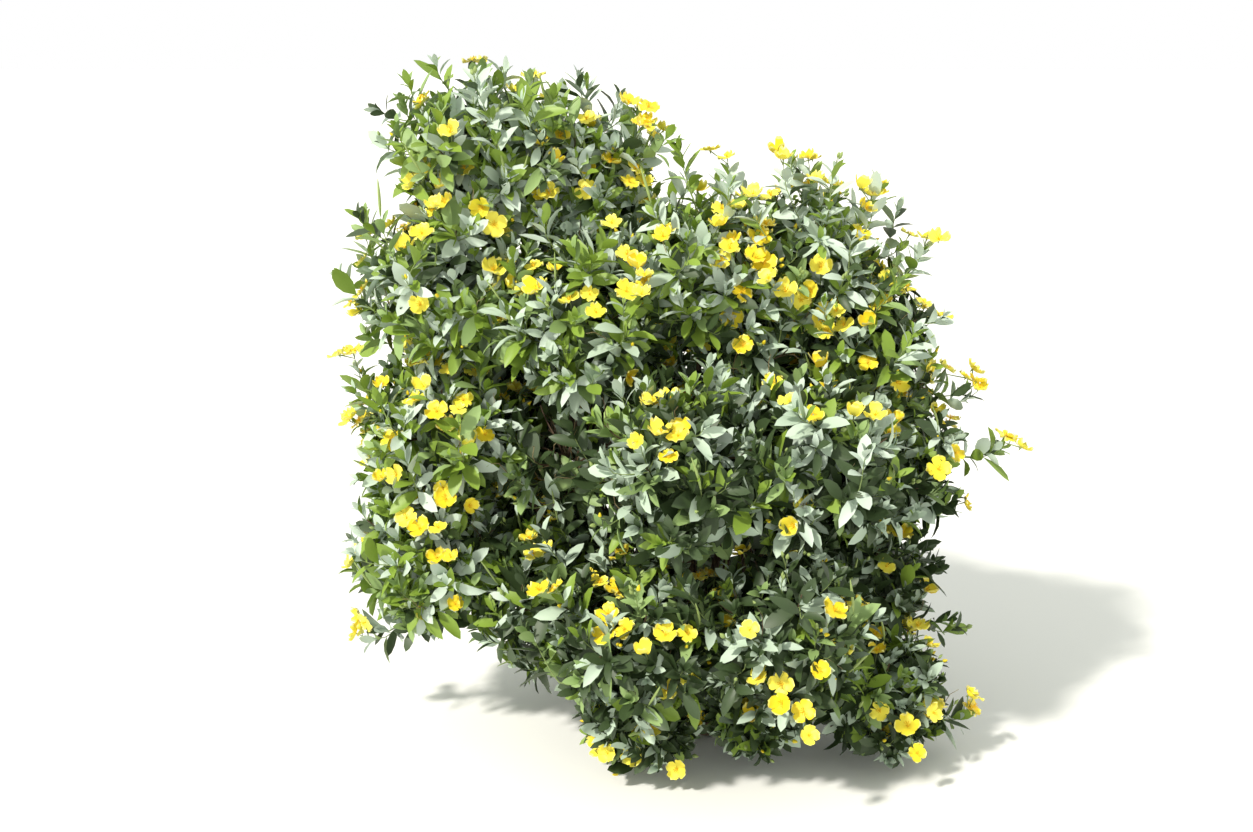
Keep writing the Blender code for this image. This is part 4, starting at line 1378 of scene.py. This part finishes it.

# %% [markdown]
# ## Blossoms
#
# A blossom is 35 to 50 mm across, with four broad rounded petals that crinkle at their rims, round a
# tuft of orange-yellow stamens. The outer row of each petal is painted paler, as a highlight on the crinkled
# rim. It opens from a cup to almost flat, so there are five shapes, from wide open to half closed, and three
# yellows that go by blossom. Petals are satiny: they have a little sheen and no gloss.

# %% Petals
PETALS = 4
PETAL_ROWS = ((0.06, 0.16), (0.36, 0.74), (0.66, 1.0), (0.90, 0.84), (1.0, 0.46))  # (out, width), as shares
PETAL_ACROSS = (-1.0, -0.36, 0.36, 1.0)
PETAL_WIDTH = 0.245  # half a petal's greatest width, where the blossom is one unit across
PETAL_PART, STAMEN_PART, GREEN_PART, RIM_HIGHLIGHT_PART = range(4)
PETAL_STRAY = 0.12  # how far a petal is out of its even place, in radians
CUP_CHANCE = (0.75, 1.25)  # a petal rises by this share of what its blossom says
CUP_DRAWS_IN = 0.25  # how much less wide a blossom is for each unit of its cup
PETAL_ROUNDING = 0.10  # how far the corners of a petal's rim are drawn in
PETAL_DISH = 0.03  # and how far its sides rise
PETAL_OVERLAP = 0.012  # how much higher every second petal lies
RIPPLE_TURNS = (4.6, 2.1)  # how far a ripple turns from the middle to a side, and from petal to petal
RIPPLE_CHANCE = (0.6, 1.6)


def add_petals(points, faces, parts, cup, ripple, seed, rng):
    """Four petals round +Z, each a grid of rows from its claw to its rim."""
    rows, columns = len(PETAL_ROWS), len(PETAL_ACROSS)
    for petal in range(PETALS):
        place = math.pi * 2.0 * petal / PETALS + rng.uniform(-PETAL_STRAY, PETAL_STRAY)
        turn = Matrix.Rotation(place, 3, "Z")
        rise = cup * rng.uniform(*CUP_CHANCE)
        first = len(points)
        for out, width in PETAL_ROWS:
            for side in PETAL_ACROSS:
                rounded = 1.0 - PETAL_ROUNDING * side * side * out
                reach = out * 0.5 * (1.0 - CUP_DRAWS_IN * rise) * rounded
                lift = rise * 0.5 * out * out + PETAL_DISH * side * side * out + (petal % 2) * PETAL_OVERLAP
                phase = side * RIPPLE_TURNS[0] + petal * RIPPLE_TURNS[1] + seed
                wave = ripple * out * out * math.sin(phase) * rng.uniform(*RIPPLE_CHANCE)
                points.append(turn @ Vector((side * width * PETAL_WIDTH, reach, lift + wave)))
        for row in range(rows - 1):
            for column in range(columns - 1):
                corner = first + row * columns + column
                faces.append((corner, corner + 1, corner + columns + 1, corner + columns))
                # the outer row of faces is the rim, painted paler as a highlight
                parts.append(PETAL_PART if row < rows - 2 else RIM_HIGHLIGHT_PART)


print("points in a petal:", len(PETAL_ROWS) * len(PETAL_ACROSS))

# %% Stamens, pistil and seat
STAMENS = 12
STAMEN_ROOT = 0.02  # from the middle to where a stamen starts
STAMEN_SPAN = (0.05, 0.09)  # from there to its tip: for the innermost, and more for the outermost
STAMEN_HEIGHTS = (0.12, 0.20)
STAMEN_HALF = 0.016  # half its width at the tip
STAMEN_SLANT = 0.03  # how much higher one side of the tip is
SEAT_RADIUS = 0.05
SEAT_FOOT, SEAT_RIM, PISTIL_TIP = -0.16, 0.01, 0.17  # heights
SEAT_SIDES = 4
SEAT_TURN = 1.57  # from corner to corner


def add_stamens(points, faces, parts, rng):
    """Slim triangles that fan out of the middle, set round by the golden angle."""
    for k in range(STAMENS):
        turn = GOLDEN_ANGLE * k
        outward = Vector((math.cos(turn), math.sin(turn), 0.0))
        across = Vector((-outward.y, outward.x, 0.0)) * STAMEN_HALF
        reach = STAMEN_SPAN[0] + STAMEN_SPAN[1] * math.sqrt((k + 1.0) / STAMENS)
        tip = outward * reach + UP * rng.uniform(*STAMEN_HEIGHTS)
        points += [outward * STAMEN_ROOT, tip - across, tip + across + UP * STAMEN_SLANT]
        faces.append((len(points) - 3, len(points) - 2, len(points) - 1))
        parts.append(STAMEN_PART)


def add_seat(points, faces, parts):
    """The green seat under the petals, and the pistil above it, as two points on one square."""
    foot = len(points)
    points.append(Vector((0.0, 0.0, SEAT_FOOT)))
    for k in range(SEAT_SIDES):
        turn = SEAT_TURN * k
        points.append(Vector((SEAT_RADIUS * math.cos(turn), SEAT_RADIUS * math.sin(turn), SEAT_RIM)))
    points.append(Vector((0.0, 0.0, PISTIL_TIP)))
    for k in range(SEAT_SIDES):
        a, b = foot + 1 + k, foot + 1 + (k + 1) % SEAT_SIDES
        faces += [(foot, b, a), (foot + 1 + SEAT_SIDES, a, b)]
        parts += [GREEN_PART, STAMEN_PART]


print("stamens:", STAMENS)

# %% Blossom shapes
BLOSSOM_FORMS = ((0.10, 0.075), (0.24, 0.080), (0.40, 0.070), (0.70, 0.055), (1.15, 0.030))  # (cup, ripple)


def blossom_shape(cup, ripple, seed):
    """A blossom one unit across that faces +Z: petals, stamens, pistil and the green seat underneath."""
    rng = random.Random(seed)
    points, faces, parts = [], [], []
    add_petals(points, faces, parts, cup, ripple, seed, rng)
    add_stamens(points, faces, parts, rng)
    add_seat(points, faces, parts)
    return points, faces, parts


blossom_shapes = shape_collection("blossom_shapes", [
    blossom_shape(cup, ripple, seed) for seed, (cup, ripple) in enumerate(BLOSSOM_FORMS, start=1)
])

# %% Blossom colours
SATIN = {"roughness": 0.50, "Sheen_Weight": 0.15}  # fine velvety cells: a soft edge of light, no gloss
PETAL_LOOKS = [
    surface("lemon petal", "#fcef50", **SATIN),
    surface("yellow petal", "#f9e73a", **SATIN),
    surface("golden petal", "#f1d822", **SATIN),
]
RIM_HIGHLIGHT_LOOK = surface("pale crinkled petal rim", "#fdf488", **SATIN)  # thin; painted paler as a highlight on the crinkles
STAMEN_LOOK = surface("stamens with pollen", "#ecc020", 0.80)  # loose powder, quite dull
SEAT_LOOK = surface("green flower seat", "#8a9c58", 0.60)  # living skin with a faint bloom
print("petal colours:", ", ".join(look.name for look in PETAL_LOOKS))

# %% [markdown]
# ## Buds and pods
#
# A bud is an egg of two green caps, 10 to 17 mm long; one that is about to open shows yellow at its tip. A
# ripe blossom leaves a slender pod, curved and pointed, 45 to 75 mm long.

# %% Spindles for buds and pods
def spindle(profile, sides, bend, yellow_from=math.inf):
    """A closed pointed body one unit long along +Y, through rings of (place, radius), bent sideways."""
    points = [Vector((0.0, 0.0, 0.0))]
    for s, radius in profile:
        for k in range(sides):
            turn = 2.0 * math.pi * k / sides
            points.append(Vector((radius * math.cos(turn) + bend * s * s, s, radius * math.sin(turn))))
    points.append(Vector((bend, 1.0, 0.0)))
    last = len(points) - 1
    faces, parts = [], []
    for k in range(sides):
        j = (k + 1) % sides
        column = [(0, 1 + k, 1 + j)]
        for row in range(len(profile) - 1):
            low = 1 + row * sides
            column.append((low + k, low + sides + k, low + sides + j, low + j))
        top = last - sides
        column.append((top + k, last, top + j))
        faces += column
        parts += [1 if row / len(profile) >= yellow_from else 0 for row in range(len(column))]
    return points, faces, parts


BUD_PROFILE = ((0.12, 0.12), (0.38, 0.25), (0.65, 0.20), (0.88, 0.09))
POD_PROFILE = ((0.06, 0.022), (0.30, 0.040), (0.62, 0.038), (0.88, 0.020))
fruit_shapes = shape_collection("fruit_shapes", [
    spindle(BUD_PROFILE, sides=6, bend=0.0),
    spindle(BUD_PROFILE, sides=6, bend=0.05, yellow_from=0.5),
    spindle(POD_PROFILE, sides=5, bend=0.04),
    spindle(POD_PROFILE, sides=5, bend=0.16),
])
FRUIT_LOOKS = [surface("green cap and pod", "#93a661", 0.55)]  # smooth young skin with a little shine
OPENING_LOOK = surface("petals in bud", "#dfc820", 0.55)  # folded tight; painted deeper yellow for the shade inside the fold

# %% Blossoms and fruit as pieces
BLOOM_SIZE_SPREAD = 0.10
blossom_tree = sprays_tree("blossoms on shoots", PETAL_LOOKS, [None, STAMEN_LOOK, SEAT_LOOK, RIM_HIGHLIGHT_LOOK])
fruit_tree = sprays_tree("fruit on shoots", FRUIT_LOOKS, [None, OPENING_LOOK])
blossom_rows = [row for mass in CROWN.values() for row in mass.blossoms]
fruit_rows = [row for mass in CROWN.values() for row in mass.fruit]
blossoms = on_points("blossoms", blossom_rows, blossom_tree, blossom_shapes, BLOOM_SIZE_SPREAD)
fruit = on_points("buds_and_pods", fruit_rows, fruit_tree, fruit_shapes, BLOOM_SIZE_SPREAD)
drop_shapes(blossom_shapes)
drop_shapes(fruit_shapes)
print("blossom faces:", len(blossoms.data.polygons), "fruit faces:", len(fruit.data.polygons))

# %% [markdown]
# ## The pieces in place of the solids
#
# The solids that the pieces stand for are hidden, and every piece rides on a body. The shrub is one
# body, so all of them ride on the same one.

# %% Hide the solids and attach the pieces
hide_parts("main_stem")
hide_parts(*["bough_" + name for name in MASSES])
for name in MASSES:
    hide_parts("foliage_" + name)
WOODEN = [main_stem, boughs]
LEAFY = [*LEAF_PIECES.values(), *TWIG_PIECES.values(), blossoms, fruit]
for piece in WOODEN:
    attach(piece, "root")
for piece in LEAFY:
    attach(piece, "root")
print("pieces:", len(WOODEN + LEAFY))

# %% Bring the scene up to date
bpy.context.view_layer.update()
